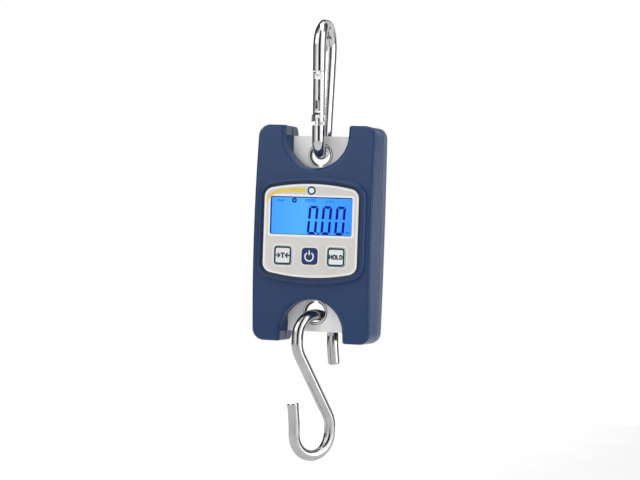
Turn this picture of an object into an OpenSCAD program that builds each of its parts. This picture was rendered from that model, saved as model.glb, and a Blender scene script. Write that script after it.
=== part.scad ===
// Hanging scale: a two-shell plastic housing with a steel plate in a notch at each end,
// a pear-shaped snap hook above and an S-hook below. +Z is up and the display faces -Y.
// The origin is the hang point, at the top of the snap hook's opening, over the load line. The modules
// are drawn about the housing's middle, and hung() lowers them into place.

/* [Housing] */
// Width across the seam between the shells
body_w = 72.6; // [70:0.2:76]
// Width of the front face
front_w = 70.4; // [68:0.2:72]
// Height of the housing
body_h = 124; // [122:0.5:130]
// Distance from the plates to the front face
front_d = 13.4; // [13:0.1:15]
// Distance from the plates to the back face
rear_d = 16; // [15.6:0.1:18]
// How far the front face curves back at its ends
front_crown = 3.9; // [2:0.1:4.4]
// How far the back face curves forward at its ends
rear_crown = 1.5; // [0.8:0.1:2]
// Wall thickness of the shells
wall = 2.2; // [1.8:0.1:2.4]
// Radius of the housing's corners
corner_r = 6.5; // [4:0.5:8]
// Radius of the back edges
rear_edge_r = 6; // [3:0.5:7]

/* [Notches] */
// Radius of each notch behind its chamfer
notch_r = 18.8; // [18:0.1:19.4]
// Chamfer along the front edge of each notch
notch_chamfer = 1.6; // [0.8:0.1:1.8]
// Height of the centre of each notch's arc
notch_z = 56.2; // [55:0.1:57]

/* [Front panel] */
// Width of the raised bezel
bezel_w = 64.2; // [62:0.2:66]
// Width of the printed panel
panel_w = 56.2; // [54:0.2:57]
// Height of the panel's upper edge at its middle
panel_top = 28.2; // [27:0.1:29]
// Depth of the panel's lower edge at its middle
panel_bottom = 25; // [24.5:0.1:25.5]
// Radius of the panel's arched edges
arch_r = 118; // [100:1:160]
// Distance from the plates to the panel's face
panel_d = 15.4; // [15.2:0.1:16]
// Width of the display window
window_w = 48.8; // [46:0.2:50]
// Height of the display window
window_h = 21.5; // [19:0.1:22]
// Height of the window's middle
window_z = 10; // [9:0.1:11]

/* [Keys] */
// Width of the two outer keys
key_w = 10.6; // [9:0.1:11]
// Width of the middle key
power_key_w = 9; // [8:0.1:10]
// Spacing of the keys
key_pitch = 15.9; // [15:0.1:17]
// Depth of the keys' row below the origin
key_z = 12.8; // [12:0.1:13]
// Travel of a key
key_travel = 0.5; // [0.3:0.05:0.6]

/* [Load path] */
// Height of each load hole's centre
hole_z = 44.9; // [44:0.1:46]
// Thickness of the plates
plate_t = 3; // [2.5:0.1:3]
// Height of each plate's outer edge
plate_edge_z = 56; // [55:0.1:57]
// Inner radius of the bushes
bush_bore_r = 5.6; // [5.5:0.05:5.7]
// Radius of the bushes' flanges
bush_flange_r = 6.95; // [6.8:0.05:7.4]

/* [Snap hook] */
// Diameter of the snap hook's wire
snap_wire = 7.5; // [7:0.1:7.5]
// Overall height of the snap hook
snap_h = 81; // [76:1:90]
// Centre-line radius of its narrow end
snap_small_r = 8; // [8:0.1:9]
// Centre-line radius of its wide end
snap_big_r = 13.2; // [13:0.1:16]
// Turn of its plane about the vertical
snap_yaw = 4; // [0:1:8]

/* [S-hook] */
// Diameter of the S-hook's wire
s_wire = 6.6; // [6:0.1:6.6]
// Centre-line radius of both bends
s_r = 12.7; // [12:0.1:14]
// Distance between the centres of the bends
s_span = 55.4; // [50:0.2:60]
// Length of the upper straight tip
s_upper_tip = 16; // [10:0.5:18]
// Length of the lower straight tip
s_lower_tip = 18; // [10:0.5:20]
// Turn of its plane from the front-to-back direction
s_yaw = 35; // [0:1:36]

/* [Batteries] */
// Diameter of a cell
cell_d = 10.4; // [10:0.1:10.5]
// Length of a cell
cell_len = 44.2; // [43:0.1:44.5]

/* [Hidden] */
$fn = 64;
tall = 200;
seam_y = plate_t / 2 + 0.1;
half_h = body_h / 2;
crown_z = half_h - 1;
front_arc_r = (pow(crown_z, 2) + pow(front_crown, 2)) / (2 * front_crown);
rear_arc_r = (pow(crown_z, 2) + pow(rear_crown, 2)) / (2 * rear_crown);
front_edge_r = 1.4;
crown_n = 20;
navy = [0.16, 0.25, 0.42];
steel = [0.78, 0.79, 0.8];
zinc = [0.82, 0.81, 0.79];
brass = [0.8, 0.65, 0.3];

// Front panel
bezel_margin = (bezel_w - panel_w) / 2;
bezel_top_d = panel_d + 0.8;
panel_t = 0.3;
panel_corner = 5.5;
floor_d = panel_d - panel_t;
pocket_d = floor_d - 2;
pocket_inset = 2.4;
key_gap = 0.25;

// Board and display, as distances in front of the plates' middle plane
board_back = 7.9;
board_t = 1.2;
board_front = board_back + board_t;
board_w = 60;
board_top = 25.5;
board_bottom = 22;
board_hole_clear = 0.1;
window_t = 0.6;
window_front = panel_d - 0.1;
glass_t = 1.8;
glass_front = window_front - window_t - 0.1;
glass_w = window_w - 0.4;
glass_h = window_h - 0.4;
light_t = 2;
light_front = glass_front - glass_t - 0.1;
light_w = 46.6;
light_h = 20.6;
frame_wall = 1.5;
switch_w = 6;
switch_t = 1.9;
plunger_r = 1.6;
plunger_t = 0.5;

// Shell screws and bosses
boss_x = 28.3;
boss_z = 49.5;
boss_r = 2.9;
screw_r = 1.25;
screw_head_r = 2.3;
counterbore_r = 2.6;
boss_web = 3;
board_boss_x = 27.2;
board_boss_top = 22.6;
board_boss_low = 19.2;
board_boss_r = 2;
board_screw_r = 0.9;
board_screw_bite = 1.8;
board_screw_head_r = 1.7;
board_screw_head_t = 1.1;

// Load cell
beam_w = 28;
beam_h = 50;
beam_front = 7;
beam_screw_x = 7;
beam_screw_z = 17;
beam_screw_r = 2.5;
beam_head_r = 4.1;
beam_head_t = 3;
hex_r = 2.3;

// Battery bay
bay_w = 33.4;
bay_h = 49.2;
bay_wall = 1.2;
bay_floor = seam_y + 1.5;
cell_pitch = 11;
cell_y = bay_floor + 0.1 + cell_d / 2;
rim_y = rear_d - 2.1;
door_w = 36.4;
door_top = 27.6;
door_bottom = 27.8;
door_gap = 0.35;
ledge_t = 1;
ledge_w = 1.6;

// Snap hook
bush_body_r = bush_flange_r - 0.4;
plate_half_w = 21.6;
plate_shoulder_z = 33;
plate_neck_w = 26;
plate_foot_z = 10.8;
slot_half_w = plate_half_w + 0.6;
snap_r = snap_wire / 2;
snap_seat = hole_z + bush_bore_r - snap_r - 0.35;
snap_low_z = snap_seat + snap_small_r;
snap_high_z = snap_seat - snap_r + snap_h - snap_r - snap_big_r;
snap_lean = asin((snap_big_r - snap_small_r) / (snap_high_z - snap_low_z));
snap_side = (snap_high_z - snap_low_z) * cos(snap_lean);
hinge_at = 12.4;
nose_at = 39.1;
tongue_t = 3;
hinge_shoulder = 3.75;
rivet_r = 1.4;
gate_r = snap_wire * 0.47;
fork_slot = 4.3;
spring_slot_w = 2.2;
spring_from = 5.2;
spring_to = 10.2;
leaf_w = 1.9;
leaf_t = 0.5;
hang_z = snap_high_z + snap_big_r - snap_r;

// S-hook
s_wire_r = s_wire / 2;
s_seat = -(hole_z + bush_bore_r) + s_wire_r + 0.75;
s_top_z = s_seat - s_r;
s_slope = 32;
s_bend_r = 15;
s_splay = 7;
s_tip_r = 60;

function arc(cx, cy, r, from, to, n) =
    [for (i = [0:n]) [cx + r * cos(from + (to - from) * i / n), cy + r * sin(from + (to - from) * i / n)]];

// Outline with vertical sides, arched top and bottom edges and round corners.
function arched(w, top, bottom, r_arch, r) =
    let (x = w / 2 - r,
         reach = asin(x / (r_arch - r)),
         drop = (r_arch - r) * cos(reach),
         zt = top - r_arch + drop,
         zb = -bottom + r_arch - drop)
    concat(arc(x, zt, r, 0, 90 - reach, 8),
           arc(0, top - r_arch, r_arch, 90 - reach, 90 + reach, 16),
           arc(-x, zt, r, 90 + reach, 180, 8),
           arc(-x, zb, r, 180, 270 - reach, 8),
           arc(0, -bottom + r_arch, r_arch, 270 - reach, 270 + reach, 16),
           arc(x, zb, r, 270 + reach, 360, 8));

// Outline of a box with round corners, centred on the origin.
function rounded(w, h, r) =
    concat(arc(w / 2 - r, h / 2 - r, r, 0, 90, 8), arc(r - w / 2, h / 2 - r, r, 90, 180, 8),
           arc(r - w / 2, r - h / 2, r, 180, 270, 8), arc(w / 2 - r, r - h / 2, r, 270, 360, 8));

// A flat shape in XZ, from y1 back to y2.
module slab(y1, y2) {
    translate([0, y2, 0])
        rotate([90, 0, 0])
            linear_extrude(y2 - y1)
                children();
}

// A block given by its limits.
module block(x1, x2, y1, y2, z1, z2) {
    translate([x1, y1, z1])
        cube([x2 - x1, y2 - y1, z2 - z1]);
}

// A round bar along Y from y1 back to y2.
module bar_y(r, y1, y2) {
    translate([0, y1, 0])
        rotate([-90, 0, 0])
            cylinder(r = r, h = y2 - y1);
}

// From the housing's middle to the hang point.
module hung() {
    translate([0, 0, -hang_z])
        children();
}

// Both ends of the housing.
module both_ends() {
    for (m = [0, 1])
        mirror([0, 0, m])
            children();
}

// The four quarters of the housing.
module four_corners(x, z) {
    for (sx = [-1, 1], sz = [-1, 1])
        translate([sx * x, 0, sz * z])
            children();
}

module notch_outline(r) {
    translate([0, notch_z])
        circle(r, $fn = 128);
    translate([-r, notch_z])
        square([2 * r, tall]);
}

module both_notches(r) {
    notch_outline(r);
    mirror([0, 1])
        notch_outline(r);
}

module housing_outline(inset) {
    difference() {
        polygon(rounded(body_w - 2 * inset, body_h - 2 * inset, corner_r - inset / 2));
        both_notches(notch_r + inset);
    }
}

// Plan view of the housing: slightly tapered sides, small front edges and large back edges.
module plan(inset) {
    wf = front_w / 2 - inset;
    ws = body_w / 2 - inset;
    rf = max(front_edge_r - inset, 0.3);
    rr = max(rear_edge_r - inset, 0.5);
    polygon(concat(arc(wf - rf, rf - front_d + inset, rf, 270, 360, 6), [[ws, seam_y]],
                   arc(ws - rr, rear_d - inset - rr, rr, 0, 90, 8),
                   arc(rr - ws, rear_d - inset - rr, rr, 90, 180, 8), [[-ws, seam_y]],
                   arc(rf - wf, rf - front_d + inset, rf, 180, 270, 6)));
}

// Side view of the housing, inset by a wall: crowned front and back faces with rounded ends.
module side_view(inset) {
    rf = max(front_edge_r - inset, 0.3);
    rr = max(rear_edge_r - inset, 0.5);
    end_z = half_h - inset;
    reach_f = asin((end_z - rf) / front_arc_r);
    reach_r = asin((end_z - rr) / rear_arc_r);
    end_f = front_arc_r * (1 - cos(reach_f)) - front_d + inset;
    end_r = rear_d - inset - rear_arc_r * (1 - cos(reach_r));
    polygon(concat(arc(front_arc_r - front_d + inset, 0, front_arc_r, 180 - reach_f, 180 + reach_f, crown_n),
                   arc(end_f + rf, rf - end_z, rf, 180, 270, 6),
                   arc(end_r - rr, rr - end_z, rr, 270, 360, 6),
                   arc(rear_d - inset - rear_arc_r, 0, rear_arc_r, -reach_r, reach_r, crown_n),
                   arc(end_r - rr, end_z - rr, rr, 0, 90, 6),
                   arc(end_f + rf, end_z - rf, rf, 90, 180, 6)));
}

module housing_form(inset) {
    intersection() {
        slab(-tall / 2, tall / 2)
            housing_outline(inset);
        translate([0, 0, -tall / 2])
            linear_extrude(tall)
                plan(inset);
        rotate([90, 0, 90])
            translate([0, 0, -tall / 2])
                linear_extrude(tall)
                    side_view(inset);
    }
}

module front_half() {
    block(-tall, tall, -tall, seam_y, -tall, tall);
}

// Chamfer round the front edge of a notch, as a cone and a prism that lean outwards.
module notch_chamfer_cut() {
    y_face = front_crown * pow(notch_z / crown_z, 2) - front_d;
    deep = notch_chamfer + 1;
    translate([0, y_face - 1, notch_z])
        rotate([-90, 0, 0])
            cylinder(r1 = notch_r + deep, r2 = notch_r, h = deep, $fn = 128);
    translate([0, 0, notch_z])
        linear_extrude(half_h)
            polygon([[-notch_r - deep, y_face - 1], [notch_r + deep, y_face - 1],
                     [notch_r, y_face - 1 + deep], [-notch_r, y_face - 1 + deep]]);
}

// Ribs that narrow the notch towards the plate on both sides.
module notch_guides() {
    inner = notch_r - 2.4;
    rib_from = 46;
    for (m = [0, 1])
        mirror([m, 0, 0])
            translate([0, 0, rib_from])
                linear_extrude(plate_edge_z - rib_from)
                    polygon([[notch_r + 0.8, -8.6], [notch_r + 0.8, -seam_y], [inner, -seam_y],
                             [notch_r, -8.6]]);
}

module key_places(extra) {
    for (i = [-1, 0, 1]) {
        w = (i == 0 ? power_key_w : key_w) + 2 * extra;
        translate([i * key_pitch, -key_z])
            polygon(rounded(w, w, 2));
    }
}

module window_place(extra) {
    translate([0, window_z])
        polygon(rounded(window_w + 2 * extra, window_h + 2 * extra, 1));
}

module panel_shape(grow) {
    polygon(arched(panel_w + 2 * grow, panel_top + grow, panel_bottom + grow, arch_r, panel_corner + grow));
}

// A point of a wire's path is [s, t, heading of its outward side, radius].
function wire_arc(cs, ct, r, from, to, n, wire_r) =
    [for (i = [0:n])
        let (a = from + (to - from) * i / n)
        [cs + r * cos(a), ct + r * sin(a), a, wire_r]];

// The point a distance further along a straight stretch, where the wire keeps its heading.
function wire_step(p, d, r) = [p[0] - d * sin(p[2]), p[1] + d * cos(p[2]), p[2], r];

function last(list) = list[len(list) - 1];

// A round wire bent in its own plane: one ring of points for each point of its path.
module wire(path) {
    sides = 24;
    rings = len(path);
    polyhedron(
        points = [for (p = path, k = [0 : sides - 1])
            let (u = p[3] * cos(360 * k / sides), v = p[3] * sin(360 * k / sides))
            [p[0] + u * cos(p[2]), v, p[1] + u * sin(p[2])]],
        faces = concat(
            [[for (k = [0 : sides - 1]) k]],
            [for (i = [0 : rings - 2], k = [0 : sides - 1])
                let (a = i * sides + k, b = i * sides + (k + 1) % sides)
                [a, a + sides, b + sides, b]],
            [[for (k = [sides - 1 : -1 : 0]) (rings - 1) * sides + k]]),
        convexity = 10);
}

module snap_hook() {
    color(steel) hung()
        snap_place() {
            wire(snap_path());
            snap_side_place(-1) {
                hinge_tongue();
                nose_tongue();
            }
        }
}

// The snap hook's own frame: s towards the spine, t up from the centre of the narrow bend.
module snap_place() {
    translate([0, 0, snap_low_z])
        rotate([0, 0, 90 + snap_yaw])
            children();
}

// Frame of the gate's side, with its own z along the wire and x outwards.
module snap_side_place(side) {
    mirror([side < 0 ? 1 : 0, 0, 0])
        rotate([0, snap_lean, 0])
            translate([snap_small_r, 0, 0])
                children();
}

// From the hinge down, round the narrow end, up the spine, over the wide end and down to the nose.
function snap_path() =
    let (low = wire_arc(0, 0, snap_small_r, 180 + snap_lean, 360 - snap_lean, 14, snap_r),
         high = wire_arc(0, snap_high_z - snap_low_z, snap_big_r, 360 - snap_lean, 540 + snap_lean, 20, snap_r))
    concat([wire_step(low[0], hinge_shoulder - hinge_at, snap_r)], low, high,
           [wire_step(last(high), snap_side - nose_at - 0.5, snap_r),
            wire_step(last(high), snap_side - nose_at, snap_r - 0.4)]);

// The flattened end that the gate's fork straddles, round about the rivet and bored for it.
module hinge_tongue() {
    reach = snap_r - 0.5;
    difference() {
        union() {
            block(-reach, reach, -tongue_t / 2, tongue_t / 2, hinge_at - hinge_shoulder - 1, hinge_at);
            translate([0, 0, hinge_at])
                bar_y(reach, -tongue_t / 2, tongue_t / 2);
        }
        translate([0, 0, hinge_at])
            bar_y(rivet_r + 0.05, -snap_wire, snap_wire);
    }
}

// The T-shaped tongue under the nose, which slides into the gate's slotted end.
module nose_tongue() {
    translate([0, 0, nose_at - 3.4]) {
        block(-snap_r + 1.6, snap_r - 1.2, -1.1, 1.1, 0.8, 4.4);
        block(-snap_r + 1.6, snap_r - 1.2, -1.8, 1.8, 0, 1.6);
    }
}

module gate_rivet() {
    color(steel) hung()
        snap_place()
            snap_side_place(-1)
                translate([0, 0, hinge_at]) {
                    bar_y(rivet_r, -gate_r - 0.3, gate_r + 0.3);
                    for (m = [0, 1])
                        mirror([0, m, 0])
                            bar_y(rivet_r + 0.7, gate_r - 0.1, gate_r + 0.5);
                }
}

// The gate: a round bar with a fork over the hinge, a slot for its spring and a slotted nose.
module gate() {
    gate_from = hinge_at - 1.7;
    gate_to = nose_at - 0.3;
    color(steel) hung()
        snap_place()
            snap_side_place(-1)
                difference() {
                    translate([0, 0, gate_from])
                        cylinder(r = gate_r, h = gate_to - gate_from, $fn = 48);
                    block(-gate_r - 1, gate_r + 1, -tongue_t / 2 - 0.15, tongue_t / 2 + 0.15,
                          gate_from - 1, hinge_at + fork_slot);
                    translate([0, 0, hinge_at])
                        bar_y(rivet_r + 0.05, -snap_wire, snap_wire);
                    for (m = [0, 1])
                        mirror([0, m, 0])
                            translate([0, 0, hinge_at])
                                bar_y(rivet_r + 0.8, gate_r - 0.15, gate_r + 2);
                    gate_nose_slot(gate_to);
                    block(-gate_r - 1, gate_r + 1, -spring_slot_w / 2, spring_slot_w / 2,
                          hinge_at + spring_from, hinge_at + spring_to);
                }
}

module gate_nose_slot(top) {
    block(-gate_r - 1, gate_r + 1, -1.4, 1.4, top - 2.2, top + 1);
    block(-gate_r - 1, gate_r + 1, -2.1, 2.1, top - 4.2, top - 1.2);
}

// The folded leaf spring that lies in the gate's slot.
module gate_spring() {
    fold = 1.25;
    low = hinge_at + spring_from + 0.2;
    high = hinge_at + spring_to - 0.2;
    module leaf(x1, x2, from) {
        block(x1, x2, -leaf_w / 2, leaf_w / 2, from, high);
    }
    color(steel) hung()
        snap_place()
            snap_side_place(-1) {
                leaf(-fold, leaf_t - fold, low);
                leaf(fold - leaf_t, fold, low);
                leaf(-fold, fold, high - leaf_t);
            }
}

// A split bush: a flanged ring that turns in its plate, with a gap towards the housing's middle.
module bush() {
    half_t = plate_t / 2 + 0.05;
    half_l = half_t + 0.3;
    ease = 0.9;
    gap = 2.8;
    reach = bush_flange_r + 1;
    difference() {
        rotate([-90, 0, 0])
            rotate_extrude($fn = 96)
                polygon([[bush_bore_r, -half_l + ease], [bush_bore_r + ease, -half_l],
                         [bush_flange_r, -half_l], [bush_flange_r, -half_t],
                         [bush_body_r, -half_t], [bush_body_r, half_t],
                         [bush_flange_r, half_t], [bush_flange_r, half_l],
                         [bush_bore_r + ease, half_l], [bush_bore_r, half_l - ease]]);
        block(-gap / 2, gap / 2, -plate_t, plate_t, -reach, -bush_bore_r / 2);
    }
}

module upper_bush() {
    color(steel) hung()
        translate([0, 0, hole_z])
            bush();
}

module lower_bush() {
    color(steel) hung()
        translate([0, 0, -hole_z])
            mirror([0, 0, 1])
                bush();
}

module front_shell() {
    color(navy) hung()
        difference() {
            union() {
                intersection() {
                    difference() {
                        housing_form(0);
                        housing_form(wall);
                    }
                    front_half();
                }
                bezel();
                both_ends()
                    notch_guides();
                front_bosses();
            }
            both_ends()
                notch_chamfer_cut();
            both_ends()
                plate_slot();
            slab(-panel_d - 5, -floor_d)
                panel_shape(0.05);
            slab(-pocket_d, 0)
                panel_shape(-pocket_inset);
            slab(-tall, 0) {
                window_place(0.05);
                key_places(key_gap);
            }
            board_screw_places()
                bar_y(board_screw_r + 0.02, -board_front - board_screw_bite, 0);
        }
}

// The raised frame round the panel, filled behind the panel.
module bezel() {
    slab(-bezel_top_d, wall - front_d + 1)
        panel_shape(bezel_margin);
}

module board_screw_places() {
    for (sx = [-1, 1], z = [board_boss_top, -board_boss_low])
        translate([sx * board_boss_x, 0, z])
            children();
}

module front_bosses() {
    intersection() {
        union() {
            four_corners(boss_x, boss_z)
                difference() {
                    bar_y(boss_r, -front_d + 1, seam_y);
                    bar_y(screw_r + 0.02, -boss_web, seam_y + 1);
                }
            board_screw_places()
                bar_y(board_boss_r, -front_d + 1, -board_front);
        }
        housing_form(0.5);
    }
}

// The slot in a notch's wall that the plate passes through.
module plate_slot() {
    block(-slot_half_w, slot_half_w, -seam_y, seam_y + 1, plate_shoulder_z - 1, plate_edge_z + 0.15);
}

module rear_shell() {
    color(navy) hung()
        difference() {
            union() {
                difference() {
                    housing_form(0);
                    housing_form(wall);
                    front_half();
                }
                battery_bay();
                rear_bosses();
            }
            block(-bay_w / 2, bay_w / 2, bay_floor, tall, -bay_h / 2, bay_h / 2);
            block(-door_w / 2 - door_gap, door_w / 2 + door_gap, rim_y, tall,
                  -door_bottom - door_gap, door_top + door_gap);
            both_ends()
                block(-18, 18, seam_y - 1, seam_y + 0.5, 20, plate_edge_z - 20);
            four_corners(boss_x, boss_z) {
                bar_y(screw_r + 0.2, 0, tall);
                bar_y(counterbore_r, seam_y + 4, tall);
            }
        }
}

module battery_bay() {
    w = bay_w / 2 + bay_wall;
    h = bay_h / 2 + bay_wall;
    block(-w, w, seam_y + 0.1, rim_y, -h, h);
    block(-door_w / 2 - ledge_w, door_w / 2 + ledge_w, rim_y - ledge_t, rim_y + 0.5,
          -door_bottom - ledge_w, door_top + ledge_w);
}

module rear_bosses() {
    intersection() {
        four_corners(boss_x, boss_z)
            bar_y(counterbore_r + 1.4, seam_y, rear_d);
        housing_form(0.5);
    }
}

module panel() {
    color([0.84, 0.82, 0.79]) hung()
        slab(-panel_d, -floor_d)
            difference() {
                panel_shape(0);
                window_place(0.1);
                key_places(key_gap);
            }
}

module display_window() {
    color([0.2, 0.6, 1]) hung()
        slab(-window_front, -window_front + window_t)
            window_place(0);
}

module lcd_glass() {
    color([0.1, 0.45, 0.95]) hung()
        slab(-glass_front, -glass_front + glass_t)
            translate([0, window_z])
                square([glass_w, glass_h], center = true);
}

module backlight() {
    color([0.9, 0.95, 1]) hung()
        slab(-light_front, -light_front + light_t)
            translate([0, window_z])
                square([light_w, light_h], center = true);
}

module lcd_frame() {
    color([0.2, 0.2, 0.22]) hung()
        slab(-light_front, -board_front)
            translate([0, window_z])
                difference() {
                    square([light_w + 2 * frame_wall, light_h + 2 * frame_wall], center = true);
                    square([light_w + 0.2, light_h + 0.2], center = true);
                }
}

module main_board() {
    color([0.1, 0.4, 0.2]) hung()
        slab(-board_front, -board_back)
            difference() {
                translate([-board_w / 2, -board_bottom])
                    square([board_w, board_top + board_bottom]);
                for (sx = [-1, 1], z = [board_boss_top, -board_boss_low])
                    translate([sx * board_boss_x, z])
                        circle(board_screw_r + board_hole_clear);
            }
}

// Switches soldered under the keys, each a square case with a round plunger.
module key_switches() {
    color([0.25, 0.25, 0.27]) hung()
        for (i = [-1, 0, 1])
            translate([i * key_pitch, 0, -key_z]) {
                block(-switch_w / 2, switch_w / 2, -board_front - switch_t, -board_front,
                      -switch_w / 2, switch_w / 2);
                bar_y(plunger_r, -board_front - switch_t - plunger_t, -board_front - switch_t);
            }
}

// The load cell: a block cut into an S by two slots, with two bores that let its middle flex.
module load_cell() {
    slot = 1.6;
    slot_z = 8.6;
    color([0.75, 0.76, 0.78]) hung()
        difference() {
            block(-beam_w / 2, beam_w / 2, -beam_front, -plate_t / 2, -beam_h / 2, beam_h / 2);
            block(-beam_w, beam_w / 2 - 6, -beam_front - 1, 0, slot_z, slot_z + slot);
            block(6 - beam_w / 2, beam_w, -beam_front - 1, 0, -slot_z - slot, -slot_z);
            for (sx = [-1, 1])
                translate([sx * 4.4, 0, 0])
                    bar_y(3.4, -beam_front - 1, 0);
            block(-4.4, 4.4, -beam_front - 1, 0, -0.9, 0.9);
            four_corners(beam_screw_x, beam_screw_z) {
                bar_y(beam_screw_r + 0.15, -beam_front - 1, 0);
                bar_y(beam_head_r + 0.15, -beam_front - 1, -beam_front + beam_head_t);
            }
        }
}

// Sealant over the strain gauges on the cell's right side.
module gauge_seal() {
    color([0.92, 0.92, 0.9]) hung()
        block(beam_w / 2, beam_w / 2 + 1.4, -beam_front + 1, -plate_t / 2 - 0.8, -6.4, 6.4);
}

module cell_leads() {
    color([0.8, 0.2, 0.2]) hung()
        for (i = [0:3])
            translate([beam_w / 2 + 0.7, 0, -3.6 + 2.4 * i])
                bar_y(0.45, -board_back, -beam_front + 1);
}

// Leads from the battery contacts' tabs to the board.
module power_leads() {
    color([0.1, 0.1, 0.1]) hung()
        for (sz = [-1, 1])
            translate([bay_w / 2 + bay_wall + 1.8, 0, sz * 14])
                bar_y(0.7, -board_back, seam_y + 4);
}

module load_plate() {
    slab(-plate_t / 2, plate_t / 2)
        difference() {
            union() {
                translate([-plate_half_w, plate_shoulder_z])
                    square([2 * plate_half_w, plate_edge_z - plate_shoulder_z]);
                translate([-plate_neck_w / 2, plate_foot_z])
                    square([plate_neck_w, plate_shoulder_z - plate_foot_z]);
            }
            translate([0, hole_z])
                circle(bush_body_r + 0.05, $fn = 96);
            for (sx = [-1, 1])
                translate([sx * beam_screw_x, beam_screw_z])
                    circle(beam_screw_r + 0.05);
        }
}

module upper_plate() {
    color(zinc) hung()
        load_plate();
}

module lower_plate() {
    color(zinc) hung()
        mirror([0, 0, 1])
            load_plate();
}

module cell_screws() {
    color(steel) hung()
        four_corners(beam_screw_x, beam_screw_z)
            difference() {
                union() {
                    bar_y(beam_screw_r, -beam_front + beam_head_t, plate_t / 2);
                    bar_y(beam_head_r, -beam_front + 0.1, -beam_front + beam_head_t);
                }
                translate([0, -beam_front - 1, 0])
                    rotate([-90, 0, 0])
                        cylinder(r = hex_r, h = beam_head_t, $fn = 6);
            }
}

module board_screws() {
    color(steel) hung()
        board_screw_places() {
            bar_y(board_screw_r, -board_front - board_screw_bite, -board_back);
            bar_y(board_screw_head_r, -board_back, -board_back + board_screw_head_t);
        }
}

module shell_screws() {
    color(steel) hung()
        four_corners(boss_x, boss_z)
            difference() {
                union() {
                    bar_y(screw_r, -boss_web, seam_y + 4);
                    bar_y(screw_head_r, seam_y + 4, seam_y + 6);
                }
                block(-1.5, 1.5, seam_y + 5.1, seam_y + 7, -0.3, 0.3);
                block(-0.3, 0.3, seam_y + 5.1, seam_y + 7, -1.5, 1.5);
            }
}

// One cell; cells lie side by side and turn end for end.
module battery(i) {
    nub = 0.9;
    up = i % 2 == 0 ? 0 : 1;
    color([0.15, 0.5, 0.3]) hung()
        translate([(i - 1) * cell_pitch, cell_y, 0])
            mirror([0, 0, up]) {
                translate([0, 0, -cell_len / 2])
                    cylinder(r = cell_d / 2, h = cell_len - nub);
                translate([0, 0, cell_len / 2 - nub])
                    cylinder(r = 1.9, h = nub);
            }
}

module battery_1() battery(0);
module battery_2() battery(1);
module battery_3() battery(2);

module battery_contacts() {
    contact_t = 0.4;
    contact_w = 9;
    far = bay_h / 2;
    color(brass) hung() {
        for (i = [-1, 0, 1], sz = [-1, 1])
            translate([i * cell_pitch, cell_y, 0])
                mirror([0, 0, sz < 0 ? 1 : 0])
                    block(-contact_w / 2, contact_w / 2, -4.4, 4.4, far - contact_t, far);
        for (sz = [-1, 1])
            block(bay_w / 2 + bay_wall, bay_w / 2 + bay_wall + 2.6, seam_y + 4, seam_y + 4.6,
                  sz * 14 - 1.5, sz * 14 + 1.5);
    }
}

// Contact springs at the flat end of each cell, drawn as stacked rings that narrow to the cell.
module battery_springs() {
    rings = 3;
    gap = bay_h / 2 - 0.4 - cell_len / 2;
    color(steel) hung()
        for (i = [-1, 0, 1])
            translate([i * cell_pitch, cell_y, 0])
                mirror([0, 0, i == 0 ? 0 : 1])
                    for (k = [0 : rings - 1])
                        translate([0, 0, cell_len / 2 + gap * (k + 0.5) / rings])
                            rotate_extrude($fn = 32)
                                translate([2 + 0.4 * k, 0])
                                    square([0.7, gap / rings], center = true);
}

// The battery cover, flush with the back face, with grip grooves near its upper edge.
module battery_cover() {
    groove_from = 12;
    groove_step = 2.6;
    groove_r = 0.8;
    groove_len = 20;
    color(navy) hung()
        difference() {
            intersection() {
                housing_form(0);
                block(-door_w / 2, door_w / 2, rim_y + 0.05, tall, -door_bottom, door_top);
            }
            for (i = [0:4])
                translate([0, rear_d, groove_from + groove_step * i])
                    rotate([0, 90, 0])
                        cylinder(r = groove_r, h = groove_len, center = true, $fn = 32);
        }
}

// A key cap with a retaining flange behind the shell and a stem over its switch.
module key_cap(i, w) {
    cap_face = panel_d + 0.8;
    flange_front = pocket_d - 0.2;
    flange_back = flange_front - 0.6;
    stem_r = 1.8;
    translate([i * key_pitch, 0, -key_z]) {
        slab(-cap_face, -flange_front)
            polygon(rounded(w, w, 1.8));
        slab(-flange_front, -flange_back)
            square(w + 2, center = true);
        bar_y(stem_r, -flange_back, -board_front - switch_t - plunger_t - key_travel - 0.1);
    }
}

module tare_key() {
    color("white") hung()
        key_cap(-1, key_w);
}

module power_key() {
    color(navy) hung()
        key_cap(0, power_key_w);
}

module hold_key() {
    color("white") hung()
        key_cap(1, key_w);
}

// Half of the S from its splayed tip: over the bend, down the shank and to the middle of the diagonal.
function s_half_path(tip_length) =
    let (turn = s_bend_r * tan(s_slope / 2),
         straight = s_span / 2 - s_r / tan(s_slope) - turn,
         ease = 0.9,
         tip = wire_arc(s_r + s_tip_r, 0, -s_tip_r, s_splay, 0, 3, s_wire_r),
         rest = tip_length - s_tip_r * sin(s_splay))
    concat([wire_step(tip[0], -rest, s_wire_r - ease), wire_step(tip[0], ease - rest, s_wire_r)],
           tip,
           [for (p = wire_arc(0, 0, s_r, 0, 180, 18, s_wire_r)) if (p[2] > 0) p],
           wire_arc(s_bend_r - s_r, -straight, s_bend_r, 180, 180 + s_slope, 4, s_wire_r));

// The lower half is drawn like the upper one and turned end for end about the middle of the diagonal.
function s_path() =
    let (lower = s_half_path(s_lower_tip), n = len(lower))
    concat(s_half_path(s_upper_tip),
           [for (i = [1:n]) let (p = lower[n - i]) [-p[0], -s_span - p[1], p[2], p[3]]]);

module s_hook() {
    color(steel) hung()
        translate([0, 0, s_top_z])
            rotate([0, 0, 90 - s_yaw])
                wire(s_path());
}

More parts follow.
